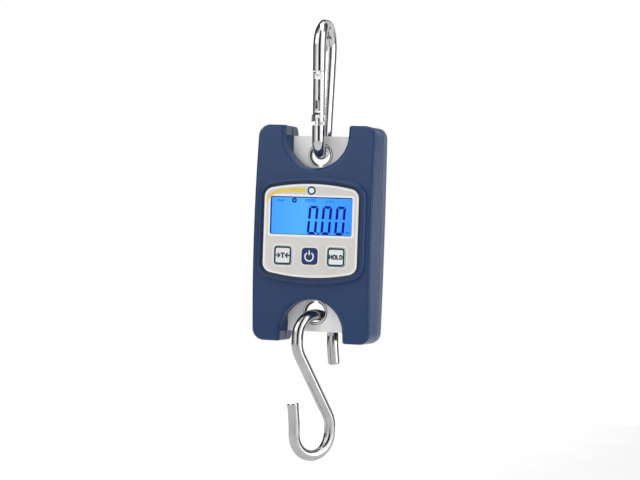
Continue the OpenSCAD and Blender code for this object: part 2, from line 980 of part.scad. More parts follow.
snap_hook();
gate_rivet();
gate();
gate_spring();
upper_bush();
front_shell();
rear_shell();
panel();
display_window();
lcd_glass();
backlight();
lcd_frame();
main_board();
key_switches();
load_cell();
gauge_seal();
cell_leads();
power_leads();
upper_plate();
lower_plate();
cell_screws();
board_screws();
shell_screws();
battery_1();
battery_2();
battery_3();
battery_contacts();
battery_springs();
battery_cover();
tare_key();
power_key();
hold_key();
lower_bush();
s_hook();
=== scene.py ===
# Looks for a hanging scale: moulded navy shells, a printed panel with a lit display, polished hooks.
import bpy
import bmesh
import numpy as np
from math import radians, sin, cos, tan, asin, pi
from mathutils import Matrix, Vector
from mathutils.geometry import delaunay_2d_cdt


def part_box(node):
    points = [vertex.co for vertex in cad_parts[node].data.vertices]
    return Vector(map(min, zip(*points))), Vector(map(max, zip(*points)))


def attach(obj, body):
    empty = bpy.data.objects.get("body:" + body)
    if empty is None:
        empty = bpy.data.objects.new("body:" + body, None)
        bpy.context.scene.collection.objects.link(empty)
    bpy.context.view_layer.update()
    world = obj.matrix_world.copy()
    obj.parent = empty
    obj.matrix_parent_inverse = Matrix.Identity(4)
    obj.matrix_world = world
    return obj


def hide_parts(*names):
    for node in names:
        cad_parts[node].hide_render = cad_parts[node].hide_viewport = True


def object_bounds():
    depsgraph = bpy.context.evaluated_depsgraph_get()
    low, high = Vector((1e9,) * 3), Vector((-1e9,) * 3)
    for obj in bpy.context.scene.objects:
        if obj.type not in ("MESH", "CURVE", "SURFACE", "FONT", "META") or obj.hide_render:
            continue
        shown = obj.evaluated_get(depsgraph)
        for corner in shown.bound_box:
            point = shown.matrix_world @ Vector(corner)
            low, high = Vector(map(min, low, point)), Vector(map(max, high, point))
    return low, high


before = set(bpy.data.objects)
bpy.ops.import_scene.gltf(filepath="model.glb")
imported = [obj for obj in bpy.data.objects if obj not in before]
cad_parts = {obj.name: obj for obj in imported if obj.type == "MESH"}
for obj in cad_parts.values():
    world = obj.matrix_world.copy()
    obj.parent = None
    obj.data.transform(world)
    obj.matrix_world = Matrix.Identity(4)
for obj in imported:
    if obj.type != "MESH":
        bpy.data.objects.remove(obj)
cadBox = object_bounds()
mm = 0.001
joinWithin, dropBelow = 0.002 * mm, 0.001 * mm  # welding distances

# the pieces are worked out in mm about the housing's middle: x right, y back, z up
plateLow, plateHigh = (np.array(c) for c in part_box("upper_plate"))
rearLow, rearHigh = (np.array(c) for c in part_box("rear_shell"))
middle = np.array([0.0, (plateLow[1] + plateHigh[1]) / 2, (rearLow[2] + rearHigh[2]) / 2])
halfWidth = (rearHigh[0] - rearLow[0]) / 2 / mm
halfHeight = (rearHigh[2] - rearLow[2]) / 2 / mm
rearFace = (rearHigh[1] - middle[1]) / mm
print("frame loaded, housing middle at z", round(float(middle[2]), 4))


def inMm(node):
    # lowest and highest corner of a node, in mm about the housing's middle
    return [(np.array(c) - middle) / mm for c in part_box(node)]


panelFront = inMm("panel")[0][1]
panelBack = inMm("panel")[1][1]
bezelTop = inMm("front_shell")[0][1]
lensLow, lensHigh = inMm("display_window")
screenLow, screenHigh = inMm("lcd_glass")


def newObject(name, data):
    thing = bpy.data.objects.new(name, data)
    bpy.context.scene.collection.objects.link(thing)
    return thing


class Heap:
    # several surfaces gathered into one piece; along holds a wire's own coordinates for its material
    def __init__(self):
        self.points, self.faces, self.along, self.size = [], [], [], 0

    def add(self, points, faces, along=None):
        points = np.asarray(points, float)
        self.points.append(points)
        self.along.append(points if along is None else along)
        self.faces += [[i + self.size for i in face] for face in faces]
        self.size += len(points)

    def strip(self, rows, closeFirst=False, closeLast=False, along=None):
        # rows of equal length joined by quads; the first and the last row can be closed with a face
        rows = np.asarray(rows, float)
        m, n = rows.shape[:2]
        faces = gridFaces(m, n)
        if closeFirst:
            faces.append(list(range(n)))
        if closeLast:
            faces.append(list(range((m - 1) * n, m * n)))
        self.add(rows.reshape(-1, 3), faces, along)

    def prism(self, outline, y1, y2):
        # a flat outline in x, z carried from y1 to y2, with both ends closed
        self.strip([flat(outline, y1), flat(outline, y2)], True, True)

    def band(self, outer, inner, y1, y2):
        # the solid between two outlines of equal length, such as a printed border
        self.strip([flat(p, y) for p, y in ((outer, y1), (inner, y1), (inner, y2), (outer, y2), (outer, y1))])

    def stroke(self, path, width, y1, y2):
        # a line of even width along an open path: each point moved half the width to either side
        path = np.asarray(path, float)
        ahead = np.gradient(path, axis=0)
        side = np.column_stack([ahead[:, 1], -ahead[:, 0]]) / np.linalg.norm(ahead, axis=1)[:, None]
        self.prism(np.concatenate([path + side * width / 2, (path - side * width / 2)[::-1]]), y1, y2)

    def make(self, name, material, body, slot, replaced=(), sharp=32):
        mesh = bpy.data.meshes.new(name)
        points = np.concatenate(self.points) * mm + middle
        mesh.from_pydata(points.tolist(), [], self.faces)
        layer = mesh.attributes.new("along", "FLOAT_VECTOR", "POINT")
        layer.data.foreach_set("vector", np.concatenate(self.along).astype(np.float32).ravel())
        work = bmesh.new()
        work.from_mesh(mesh)
        bmesh.ops.remove_doubles(work, verts=work.verts, dist=joinWithin)
        bmesh.ops.dissolve_degenerate(work, edges=work.edges, dist=dropBelow)
        bmesh.ops.recalc_face_normals(work, faces=work.faces)
        work.to_mesh(mesh)
        work.free()
        mesh.shade_smooth()
        mesh.set_sharp_from_angle(angle=radians(sharp))
        mesh.materials.append(material)
        piece = newObject(name, mesh)
        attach(piece, body)
        if replaced:
            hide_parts(*replaced)
        return piece


def gridFaces(rows, count):
    # quads between neighbouring rows, each row a closed loop of count points
    k = np.arange(count)
    nxt = (k + 1) % count
    base = (np.arange(rows - 1) * count)[:, None]
    quads = np.stack([base + k, base + nxt, base + count + nxt, base + count + k], 2)
    return quads.reshape(-1, 4).tolist()


def flat(outline, y):
    # x, z points given a depth y, one value or one for each point
    outline = np.asarray(outline, float)
    return np.column_stack([outline[:, 0], np.broadcast_to(y, len(outline)), outline[:, 1]])


def lifted(loop, height, drop=0):
    # x, z points at the depth y = height(x, z) - drop
    return flat(loop, height(loop[:, 0], loop[:, 1]) - drop)


def corners(x1, z1, x2, z2):
    return np.array([(x1, z1), (x2, z1), (x2, z2), (x1, z2)])


def arc(cx, cz, r, start, end, n):
    # n + 1 points round a centre, angles in degrees
    a = np.radians(np.linspace(start, end, n + 1))
    return np.column_stack([cx + r * np.cos(a), cz + r * np.sin(a)])


def roundedBox(w, h, r, n=8, cx=0, cz=0):
    # rectangle with a quarter circle at each corner
    x, z = w / 2 - r, h / 2 - r
    return np.concatenate([arc(cx + sx * x, cz + sz * z, r, start, start + 90, n)
                           for sx, sz, start in ((1, 1, 0), (-1, 1, 90), (-1, -1, 180), (1, -1, 270))])


def inside(points, loop):
    # even-odd test: how many of the loop's edges lie to the right of each point
    a, b = loop, np.roll(loop, -1, 0)
    x, z = points[:, 0, None], points[:, 1, None]
    crosses = (a[:, 1] > z) != (b[:, 1] > z)
    run = (b[:, 0] - a[:, 0]) / np.where(b[:, 1] == a[:, 1], 1, b[:, 1] - a[:, 1])
    return (crosses & (x < a[:, 0] + run * (z - a[:, 1]))).sum(1) % 2 == 1


def between(points, outer, holes):
    keep = inside(points, outer)
    for hole in holes:
        keep &= ~inside(points, hole)
    return keep


def fillRegion(heap, outer, holes, height, step=2.5, extra=()):
    # a region between an outer loop and its holes, filled with triangles on a grid and lifted to
    # y = height(x, z); grid points keep clear of the edges
    clear = 0.35
    loops = [outer] + list(holes)
    edge = np.concatenate(loops)
    low, high = outer.min(0), outer.max(0)
    gx, gz = np.meshgrid(np.arange(low[0], high[0], step), np.arange(low[1], high[1], step))
    free = np.concatenate([np.column_stack([gx.ravel(), gz.ravel()])] + list(extra))
    free = free[between(free, outer, holes)]
    gap = np.sqrt(((free[:, None] - edge[None]) ** 2).sum(2)).min(1)
    edges, start = [], 0
    for loop in loops:
        edges += [(start + i, start + (i + 1) % len(loop)) for i in range(len(loop))]
        start += len(loop)
    points = np.concatenate([edge, free[gap > clear]])
    verts, _, tris, *_ = delaunay_2d_cdt([Vector(p) for p in points.tolist()], edges, [], 0, 1e-7)
    verts, tris = np.array([tuple(v) for v in verts]), np.array(tris)
    tris = tris[between(verts[tris].mean(1), outer, holes)]
    heap.add(lifted(verts, height), tris.tolist())


# materials: each has its own grain, wear and colour variation from noise on object coordinates
def newMaterial(name):
    mat = bpy.data.materials.new(name)
    mat.use_nodes = True
    tree = mat.node_tree
    place = tree.nodes.new("ShaderNodeTexCoord").outputs["Object"]
    return mat, tree, tree.nodes["Principled BSDF"], place


def feed(node, values):
    # another node's output is linked, a number or a colour is set on the socket itself
    for name, value in values.items():
        if isinstance(value, bpy.types.NodeSocket):
            node.id_data.links.new(value, node.inputs[name])
        else:
            node.inputs[name].default_value = value


def noiseOf(tree, vector, scale, detail=3, rough=0.55):
    node = tree.nodes.new("ShaderNodeTexNoise")
    feed(node, {"Vector": vector, "Scale": scale, "Detail": detail, "Roughness": rough})
    return node.outputs["Fac"]


def rangeOf(tree, value, low, high, fromLow=0.3, fromHigh=0.7):
    node = tree.nodes.new("ShaderNodeMapRange")
    feed(node, {"Value": value, "From Min": fromLow, "From Max": fromHigh, "To Min": low, "To Max": high})
    return node.outputs["Result"]


def bumpOf(tree, height, distance, strength, under=None):
    node = tree.nodes.new("ShaderNodeBump")
    feed(node, {"Height": height, "Distance": distance, "Strength": strength})
    if under is not None:
        feed(node, {"Normal": under})
    return node.outputs["Normal"]


def mixOf(tree, factor, a, b):
    # inputs 6 and 7 are the mix's two colours
    node = tree.nodes.new("ShaderNodeMix")
    node.data_type = "RGBA"
    a, b = ((*tone, 1) if isinstance(tone, tuple) else tone for tone in (a, b))
    feed(node, {"Factor": factor, 6: a, 7: b})
    return node.outputs[2]


def stretched(tree, vector, scale):
    node = tree.nodes.new("ShaderNodeMapping")
    feed(node, {"Vector": vector, "Scale": scale})
    return node.outputs["Vector"]


def darker(colour, share):
    return tuple(c * share for c in colour)


def wornEdges(tree, base, pale, amount):
    # paler where the surface turns sharply outwards
    edge = tree.nodes.new("ShaderNodeNewGeometry").outputs["Pointiness"]
    return mixOf(tree, rangeOf(tree, edge, 0, amount, 0.52, 0.62), base, pale)


# noise scales are per metre and bump depths in metres
plastic = {"flow": (30, 30, 12), "patch": 55, "dull": (-0.02, 0.04), "soft": 240, "softDepth": 0.0001,
           "softness": 0.08, "fine": 2600, "fineDepth": 0.00004, "specular": 0.3, "coatRough": 0.25}


def mouldedPlastic(name, colour, pale, rough=0.34, grain=0.35, coat=0.05):
    # satin grain, faint flow marks in the colour, and dull patches from handling
    mat, tree, shader, place = newMaterial(name)
    flow = noiseOf(tree, stretched(tree, place, plastic["flow"]), 1, 4)
    base = mixOf(tree, rangeOf(tree, flow, 0, 1), colour, darker(colour, 0.88))
    low, high = (rough + change for change in plastic["dull"])
    patches = rangeOf(tree, noiseOf(tree, place, plastic["patch"], 4, 0.5), low, high, 0.2, 0.8)
    soft = bumpOf(tree, noiseOf(tree, place, plastic["soft"], 2), plastic["softDepth"], plastic["softness"])
    fine = bumpOf(tree, noiseOf(tree, place, plastic["fine"], 2), plastic["fineDepth"], grain, soft)
    feed(shader, {"Base Color": wornEdges(tree, base, pale, 0.3), "Roughness": patches, "Normal": fine,
                  "Specular IOR Level": plastic["specular"],
                  "Coat Weight": coat, "Coat Roughness": plastic["coatRough"]})
    return mat


wire = {"lines": (0.05, 3.2, 3.2), "lineDepth": 0.00002, "cloud": 110, "rub": (500, 500, 900),
        "rubDepth": 0.00001}


def drawnWire(name, colour, rough):
    # polished wire: fine drawing marks along its length, a few rub marks and faint cloudy tarnish
    mat, tree, shader, place = newMaterial(name)
    own = tree.nodes.new("ShaderNodeAttribute")
    own.attribute_name = "along"
    lines = noiseOf(tree, stretched(tree, own.outputs["Vector"], wire["lines"]), 1, 3)
    cloud = noiseOf(tree, place, wire["cloud"], 5, 0.65)
    rub = noiseOf(tree, stretched(tree, place, wire["rub"]), 1, 2)
    both = mixOf(tree, 0.5, rangeOf(tree, lines, rough * 0.5, rough * 1.5),
                 rangeOf(tree, cloud, rough * 0.6, rough * 1.6))
    drawn = bumpOf(tree, lines, wire["lineDepth"], 0.3)
    feed(shader, {"Base Color": mixOf(tree, rangeOf(tree, cloud, 0, 1), colour, darker(colour, 0.82)),
                  "Metallic": 1, "Roughness": both,
                  "Normal": bumpOf(tree, rub, wire["rubDepth"], 0.25, drawn)})
    return mat


def satinMetal(name, colour, rough, metallic=1.0, stretch=(40, 40, 900), depth=0.00001):
    # brushed or plated metal: fine lines one way with soft blotches
    mat, tree, shader, place = newMaterial(name)
    lines = noiseOf(tree, stretched(tree, place, stretch), 1, 4)
    base = mixOf(tree, rangeOf(tree, noiseOf(tree, place, 70, 5), 0, 1), colour, darker(colour, 0.88))
    feed(shader, {"Base Color": wornEdges(tree, base, tuple(min(1, c * 1.1) for c in colour), 0.4),
                  "Metallic": metallic, "Roughness": rangeOf(tree, lines, rough - 0.07, rough + 0.1),
                  "Normal": bumpOf(tree, lines, depth, 0.5)})
    return mat


def printedFilm(name, colour, rough=0.42, shift=0.94, sheen=0.4, glow=0):
    # screen print: very fine stipple over an even tint
    stipple, stippleDepth = 4200, 0.00002
    mat, tree, shader, place = newMaterial(name)
    tint = noiseOf(tree, place, 45, 3)
    film = mixOf(tree, rangeOf(tree, tint, 0, 1), colour, darker(colour, shift))
    if glow:
        feed(shader, {"Emission Color": film, "Emission Strength": glow})
    feed(shader, {"Base Color": film, "Roughness": rangeOf(tree, tint, rough - 0.04, rough + 0.06),
                  "Specular IOR Level": sheen,
                  "Normal": bumpOf(tree, noiseOf(tree, place, stipple, 1), stippleDepth, 0.3)})
    return mat


# the screen's light from its left to its right edge, the cloud over it, and the share that isn't paint
backlight = {"tones": ((0.0, (0.020, 0.33, 1.0)), (0.4, (0.045, 0.40, 1.0)), (0.72, (0.006, 0.30, 1.0)),
                       (1.0, (0.0, 0.235, 0.95))), "cloud": (0.05, 0.42, 1.0), "dim": 0.93, "strength": 0.97}


def fillRamp(node, tones):
    ramp = node.color_ramp.elements
    while len(ramp) < len(tones):
        ramp.new(0.5)
    for element, (where, tone) in zip(ramp, tones):
        element.position, element.color = where, (*tone, 1)


def litDisplay(name, left, right):
    # backlit blue: brightest left of the middle and deeper towards the right edge, with soft clouding
    mat, tree, shader, place = newMaterial(name)
    split = tree.nodes.new("ShaderNodeSeparateXYZ")
    feed(split, {"Vector": place})
    ramp = tree.nodes.new("ShaderNodeValToRGB")
    fillRamp(ramp, backlight["tones"])
    feed(ramp, {"Fac": rangeOf(tree, split.outputs["X"], 0, 1, left, right)})
    cloud = rangeOf(tree, noiseOf(tree, place, 70, 2), 0, 0.3)
    glow = mixOf(tree, cloud, ramp.outputs["Color"], backlight["cloud"])
    feed(shader, {"Base Color": mixOf(tree, backlight["dim"], glow, (0.0, 0.0, 0.0)),
                  "Emission Color": glow, "Emission Strength": backlight["strength"],
                  "Roughness": rangeOf(tree, noiseOf(tree, place, 3000, 1), 0.2, 0.32)})
    return mat


paneTints = (0.02, 0.06, 0.14), (0.01, 0.04, 0.1)


def clearPane(name, alpha):
    # nearly clear, with a faint haze in its gloss and tint
    mat, tree, shader, place = newMaterial(name)
    haze = noiseOf(tree, place, 120, 4)
    feed(shader, {"Roughness": rangeOf(tree, haze, 0.05, 0.14), "Alpha": alpha,
                  "Base Color": mixOf(tree, rangeOf(tree, haze, 0, 1), paneTints[0], paneTints[1])})
    return mat


navyTone = (0.012, 0.042, 0.128)
paleNavy = (0.05, 0.10, 0.24)
looks = {
    "navyFront": mouldedPlastic("navyFront", navyTone, paleNavy, 0.27),
    # a darker navy for the painted shade on the bezel's inner slope
    "navySlopeShade": mouldedPlastic("navySlopeShade", darker(navyTone, 0.45), darker(navyTone, 0.8), 0.4),
    "navyRear": mouldedPlastic("navyRear", darker(navyTone, 1.02), paleNavy, 0.3, 0.45),
    "navyCover": mouldedPlastic("navyCover", darker(navyTone, 0.97), paleNavy, 0.37, 0.45),
    "snapWire": drawnWire("snapWire", (0.66, 0.66, 0.66), 0.13),
    "hookWire": drawnWire("hookWire", (0.55, 0.545, 0.54), 0.14),
    "gate": satinMetal("gateBar", (0.66, 0.66, 0.66), 0.16, stretch=(700, 700, 30)),
    "rivet": satinMetal("rivetHead", (0.66, 0.67, 0.68), 0.3),
    "spring": satinMetal("springLeaf", (0.45, 0.46, 0.49), 0.3),
    "bush": satinMetal("bushRing", (0.70, 0.70, 0.69), 0.26, stretch=(60, 1200, 60)),
    # near-black steel for the bushes' painted shade: contact shadow round each flange and shade in each bore
    "bushShade": satinMetal("paintedShadeSteel", (0.035, 0.037, 0.04), 0.35, 0.6),
    "plate": satinMetal("platedSteel", (0.97, 0.955, 0.95), 0.5, 0.0, stretch=(900, 60, 30)),
    "panel": printedFilm("panelFilm", (0.70, 0.665, 0.645)),
    "white": printedFilm("whiteInk", (0.88, 0.88, 0.87), 0.35, 0.97),
    "yellow": printedFilm("yellowInk", (0.83, 0.60, 0.10), 0.35),
    "teal": printedFilm("tealInk", (0.004, 0.045, 0.08), 0.4, 0.94, 0.2),
    "navyInk": printedFilm("navyInk", (0.012, 0.035, 0.13), 0.35),
    # dark segment ink, also used for the painted shadow bands at the screen's top and left edges
    "segment": printedFilm("segmentAndShadowInk", (0.0, 0.003, 0.19), 0.6, 0.9, 0.05, 0.75),
    "faint": printedFilm("faintSegment", (0.0, 0.10, 0.48), 0.5, 0.9, 0.05, 0.7),
    "display": litDisplay("litDisplay", screenLow[0] * mm, screenHigh[0] * mm),
    "pane": clearPane("clearPane", 0.015),
    "keyWhite": mouldedPlastic("keyWhite", (0.86, 0.87, 0.86), (0.9, 0.9, 0.9), 0.3, 0.2),
    "keyNavy": mouldedPlastic("keyNavy", (0.008, 0.026, 0.15), (0.02, 0.05, 0.2), 0.3, 0.2),
    "diffuser": mouldedPlastic("diffuserSheet", (0.82, 0.85, 0.88), (0.9, 0.9, 0.9)),
    "black": mouldedPlastic("blackPlastic", (0.016, 0.016, 0.018), (0.05, 0.05, 0.05)),
    "board": printedFilm("solderMask", (0.012, 0.10, 0.035), 0.3, 0.8),
    "aluminium": satinMetal("machinedBlock", (0.78, 0.79, 0.8), 0.3),
    "sealant": mouldedPlastic("whiteSealant", (0.8, 0.79, 0.74), (0.85, 0.84, 0.8), 0.55),
    "redLead": mouldedPlastic("redLead", (0.5, 0.02, 0.015), (0.6, 0.1, 0.1)),
    "screw": satinMetal("screwZinc", (0.62, 0.63, 0.64), 0.28, stretch=(500, 500, 500)),
    "sleeve": mouldedPlastic("cellSleeve", (0.025, 0.2, 0.1), (0.1, 0.3, 0.2), 0.25, 0.1),
    "contact": satinMetal("contactStrip", (0.75, 0.62, 0.33), 0.28),
}
print("materials:", len(looks))

shell = {"frontWidth": 70.4, "frontDepth": 13.4, "frontCrown": 3.9, "rearCrown": 1.5, "corner": 6.5,
         "ear": 1.3, "notch": 18.8, "notchZ": 56.2, "wall": 2.2, "frontEdge": 1.4, "rearEdge": 6.0,
         "notchChamfer": 1.6, "rearNotchEdge": 0.9, "seam": 1.6, "plateSlot": 1.65, "plateTop": 56.3,
         "ribFrom": 8.6, "ribInner": 16.4, "spread": 12}
halfFront = shell["frontWidth"] / 2
steps = {"side": 21, "corner": 12, "end": 8, "ear": 8, "upright": 9, "notch": 40}  # in a quarter outline


def fourQuarters(quarters):
    # a loop from its quarters, every second one walked backwards, without the points they share
    return np.concatenate([q[::-1][:-1] if i % 2 else q[:-1] for i, q in enumerate(quarters)])


def outline(half, inset):
    # rounded rectangle with a round-bottomed notch at each end; every inset has the same number of points
    w, h, top = half - inset, halfHeight - inset, shell["plateTop"]
    corner, ear = max(shell["corner"] - inset, 0.4), max(shell["ear"] - inset, 0.25)
    notch = shell["notch"] + inset
    side = np.linspace((w, 0), (w, h - corner), steps["side"] + 1)
    end = np.linspace((w - corner, h), (notch + ear, h), steps["end"] + 1)
    heights = np.append(np.linspace(h - ear, top + 0.3, steps["upright"] - 2), [top + 0.12, top - 0.02])
    quarter = np.concatenate([side[:-1], arc(w - corner, h - corner, corner, 0, 90, steps["corner"])[:-1],
                              end[:-1], arc(notch + ear, h - ear, ear, 90, 180, steps["ear"])[:-1],
                              np.column_stack([np.full(len(heights), notch), heights]),
                              arc(0, shell["notchZ"], notch, 0, -90, steps["notch"])])
    return fourQuarters([quarter * flip for flip in ((1, 1), (-1, 1), (-1, -1), (1, -1))])


# which points of an outline belong to a notch's wall
beforeNotch = steps["side"] + steps["corner"] + steps["end"] + steps["ear"]
quarterNotch = np.arange(beforeNotch + steps["upright"] + steps["notch"] + 1) >= beforeNotch
notchPoint = fourQuarters([quarterNotch] * 4)


def crowned(z, depth, crown):
    # arc through the ends of the face: depth less the rise of a circle at height z
    reach = halfHeight - 1
    r = (reach ** 2 + crown ** 2) / (2 * crown)
    return depth - (r - np.sqrt(r * r - z * z))


def fromSides(x, z, half, corner):
    # distance in from a rounded rectangle: its radius less the distance to the corner's centre
    qx, qz = np.abs(x) - (half - corner), np.abs(z) - (halfHeight - corner)
    return corner - np.hypot(np.maximum(qx, 0), np.maximum(qz, 0)) - np.minimum(np.maximum(qx, qz), 0)


def fromNotch(x, z):
    # distance from the wall of the nearer notch: from its arc below the centre, from its straight sides above
    below = np.hypot(x, np.abs(z) - shell["notchZ"]) - shell["notch"]
    return np.where(np.abs(z) < shell["notchZ"], below, np.abs(x) - shell["notch"])


def rounding(d, r):
    # drop of a rounded edge: r at the edge, none at a distance r
    s = np.clip(r - d, 0, r)
    return r - np.sqrt(r * r - s * s)


def chamfer(d, size, soft=0.25):
    # drop of a 45 degree chamfer with a softened inner edge
    s = size - d
    return (s + np.sqrt(s * s + soft * soft)) / 2


def frontFace(x, z):
    y = -crowned(z, shell["frontDepth"], shell["frontCrown"])
    y = y + rounding(fromSides(x, z, shell["frontWidth"] / 2, shell["corner"]), shell["frontEdge"])
    return y + chamfer(fromNotch(x, z), shell["notchChamfer"])


brink = frontFace(*outline(halfFront, 0).T)  # depth of the front face all round its edge


def frontRow(inset, y):
    # one loop of the front shell's wall: it widens towards the seam, by a smooth step away from the
    # notch, and the guide ribs narrow the notch by the plate
    p = outline(halfFront, inset)
    y = np.broadcast_to(y, len(p)).astype(float)
    grow = np.clip((y - brink) / (shell["seam"] - brink), 0, 1) * (halfWidth - halfFront)
    reach = np.clip((np.abs(p[:, 0]) - shell["notch"] - shell["ear"]) / shell["spread"], 0, 1)
    shift = np.where(notchPoint, 0, grow * reach ** 2 * (3 - 2 * reach))
    low = np.abs(p[:, 1]) < shell["plateTop"]
    rib = np.where(notchPoint & low & (inset < 1), np.maximum(np.abs(p[:, 0]) - shell["ribInner"], 0), 0)
    rib = rib * np.clip((y + shell["ribFrom"]) / (shell["ribFrom"] - shell["plateSlot"]), 0, 1)
    x = p[:, 0] + np.sign(p[:, 0]) * (shift - rib)
    return np.column_stack([x, y, p[:, 1]])


def rimRows(row, start, end, count, way):
    # straight along a wall from its start, then over the rim's eased edge to the inner wall
    rows = [row(0, start + (end + way * 0.3 - start) * t) for t in np.linspace(0, 1, count)]
    return rows + [row(0.1, end + way * 0.08), row(0.3, end), row(shell["wall"], end)]


panel = {"width": 56.2, "top": 28.2, "bottom": 25.0, "arch": 118, "corner": 5.5, "foot": 4.6, "wall": 3.95,
         "fillet": ((4.3, 0.04), (4.1, 0.2), (4.0, 0.55)), "edge": 1.5, "ridge": 2.3,
         "lap": 0.12, "sink": 0.05, "pocket": -2.4, "floorThick": 2.0, "cornerSteps": 12,
         "archSteps": 30, "sideSteps": 15}


def arched(grow):
    # upright sides, upper and lower edges that are arcs of a big circle, and round corners tangent to both:
    # the upper half, then the lower half turned about
    w, r, big = panel["width"] / 2 + grow, panel["corner"] + grow, panel["arch"]
    reach = asin((w - r) / (big - r))
    drop, deg = (big - r) * cos(reach), reach * 180 / pi
    parts = []
    for way, own, other in ((1, panel["top"], panel["bottom"]), (-1, panel["bottom"], panel["top"])):
        z = own + grow - big + drop
        parts += [way * arc(w - r, z, r, 0, 90 - deg, panel["cornerSteps"]),
                  way * arc(0, own + grow - big, big, 90 - deg, 90 + deg, panel["archSteps"])[1:-1],
                  way * arc(r - w, z, r, 90 + deg, 180, panel["cornerSteps"]),
                  way * np.linspace((-w, z), (-w, big - drop - other - grow), panel["sideSteps"] + 1)[1:-1]]
    return np.concatenate(parts)


window = {"z": (lensLow[2] + lensHigh[2]) / 2, "w": lensHigh[0] - lensLow[0], "h": lensHigh[2] - lensLow[2]}
cap = {"flange": 2.0, "flangeFront": -12.9, "flangeBack": -12.3, "ease": 0.22, "corner": 1.9, "dish": 0.08}
keys = {}
for node in ("tare_key", "power_key", "hold_key"):
    low, high = inMm(node)
    keys[node] = {"x": (low[0] + high[0]) / 2, "z": (low[2] + high[2]) / 2,
                  "w": high[0] - low[0] - cap["flange"], "face": low[1]}


def windowBox(grow, r, n=8):
    return roundedBox(window["w"] + 2 * grow, window["h"] + 2 * grow, r, n, 0, window["z"])


def keyBox(key, grow, r, n=8):
    return roundedBox(key["w"] + 2 * grow, key["w"] + 2 * grow, r, n, key["x"], key["z"])


def slopeDepth(turn):
    # the bezel's inner slope, a quarter ellipse: the ridge at no turn, the panel at a right angle
    low = panelFront - panel["sink"]
    return low + (bezelTop - low) * cos(turn)


def bezelRows():
    # the raised frame: a steep outer side, a rounded ridge, and a long inner slope down to the panel
    rows = [lifted(arched(grow), frontFace, lift) for grow, lift in ((panel["foot"], 0), *panel["fillet"])]
    e, ridge, sink = panel["edge"], panel["ridge"], panel["sink"]
    for turn in np.radians(np.linspace(0, 90, 9)):
        rows.append(flat(arched(panel["wall"] - e + e * cos(turn)), bezelTop + e - e * sin(turn)))
    for turn in np.radians(np.linspace(0, 90, 12)):
        rows.append(flat(arched(ridge - (ridge - panel["lap"]) * sin(turn)), slopeDepth(turn)))
    return rows + [flat(arched(sink), panelFront + sink), flat(arched(0), panelBack)]


# front shell, closed: outer face and walls, rim, inner walls and face, pocket and panel floor
front = Heap()
face = [outline(halfFront, d) for d in (0, 0.03, 0.1, 0.22, 0.38, 0.58, 0.82, 1.1, 1.4, 1.7, 2.1)]
front.strip([lifted(p, frontFace) for p in face])
fillRegion(front, face[-1], [arched(panel["foot"])], frontFace, extra=[outline(halfFront, 3.2), arched(5.6)])
slotted = notchPoint & (np.abs(face[0][:, 1]) < shell["plateTop"])
rimY = np.where(slotted, -shell["plateSlot"], shell["seam"])
front.strip(rimRows(frontRow, brink, rimY, 12, -1))


def frontInner(x, z):
    return -crowned(z, shell["frontDepth"], shell["frontCrown"]) + shell["wall"]


innerTop = frontRow(shell["wall"], frontInner(*outline(halfFront, shell["wall"]).T))
front.strip([frontRow(shell["wall"], rimY), innerTop])
pocket = arched(panel["pocket"])
underY = panelBack + panel["floorThick"]
fillRegion(front, innerTop[:, [0, 2]], [pocket], frontInner, 4)
front.strip([lifted(pocket, frontInner), flat(pocket, underY)])
holes = [windowBox(0.05, 1, 6)] + [keyBox(key, 0.25, 2, 6) for key in keys.values()]
fillRegion(front, pocket, holes, lambda x, z: underY, 6)
for hole in holes:
    front.strip([flat(hole, underY), flat(hole, panelBack)])
fillRegion(front, arched(0), holes, lambda x, z: panelBack, 6)
front.strip(bezelRows())
front.make("frontShell", looks["navyFront"], "housing", "navy_front", ["front_shell"])
print("front shell")

# rear shell, closed: rounded back, cover recess over the cell bay, four screw wells with their bosses
doorLow, doorHigh = inMm("battery_cover")
door = {"gap": 0.35, "ledge": doorLow[1] - 0.05, "bayW": 33.4, "bayH": 49.2, "bayFloor": 3.1, "bayWall": 1.2,
        "corner": 0.8, "mouth": ((0.3, 0), (0.1, 0.08), (0, 0.3))}
wells = {"x": 28.3, "z": 49.5, "r": 2.6, "floor": 5.6, "boss": 4.0,
         "mouth": ((0.25, 0), (0.08, 0.07), (0, 0.25))}


def rearFaceAt(x, z):
    # crowned back, less the large rounding at its sides and the small one at the notches
    sides = rounding(fromSides(x, z, halfWidth, shell["corner"]), shell["rearEdge"])
    notches = rounding(fromNotch(x, z), shell["rearNotchEdge"])
    return crowned(z, rearFace, shell["rearCrown"]) - sides - notches


def rearInner(x, z):
    # the same back, a wall's thickness further in
    wall = shell["wall"]
    sides = rounding(fromSides(x, z, halfWidth, shell["corner"]) - wall, shell["rearEdge"] - wall)
    return crowned(z, rearFace, shell["rearCrown"]) - wall - sides


def rearRow(inset, y):
    return flat(outline(halfWidth, inset), y)


def doorLoop(grow):
    w, h = doorHigh[0] - doorLow[0], doorHigh[2] - doorLow[2]
    extra = 2 * (door["gap"] + grow)
    return roundedBox(w + extra, h + extra, door["corner"] + grow, 8, 0, (doorHigh[2] + doorLow[2]) / 2)


def ring(cx, cz, r, n=40):
    return arc(cx, cz, r, 0, 360, n)[:-1]


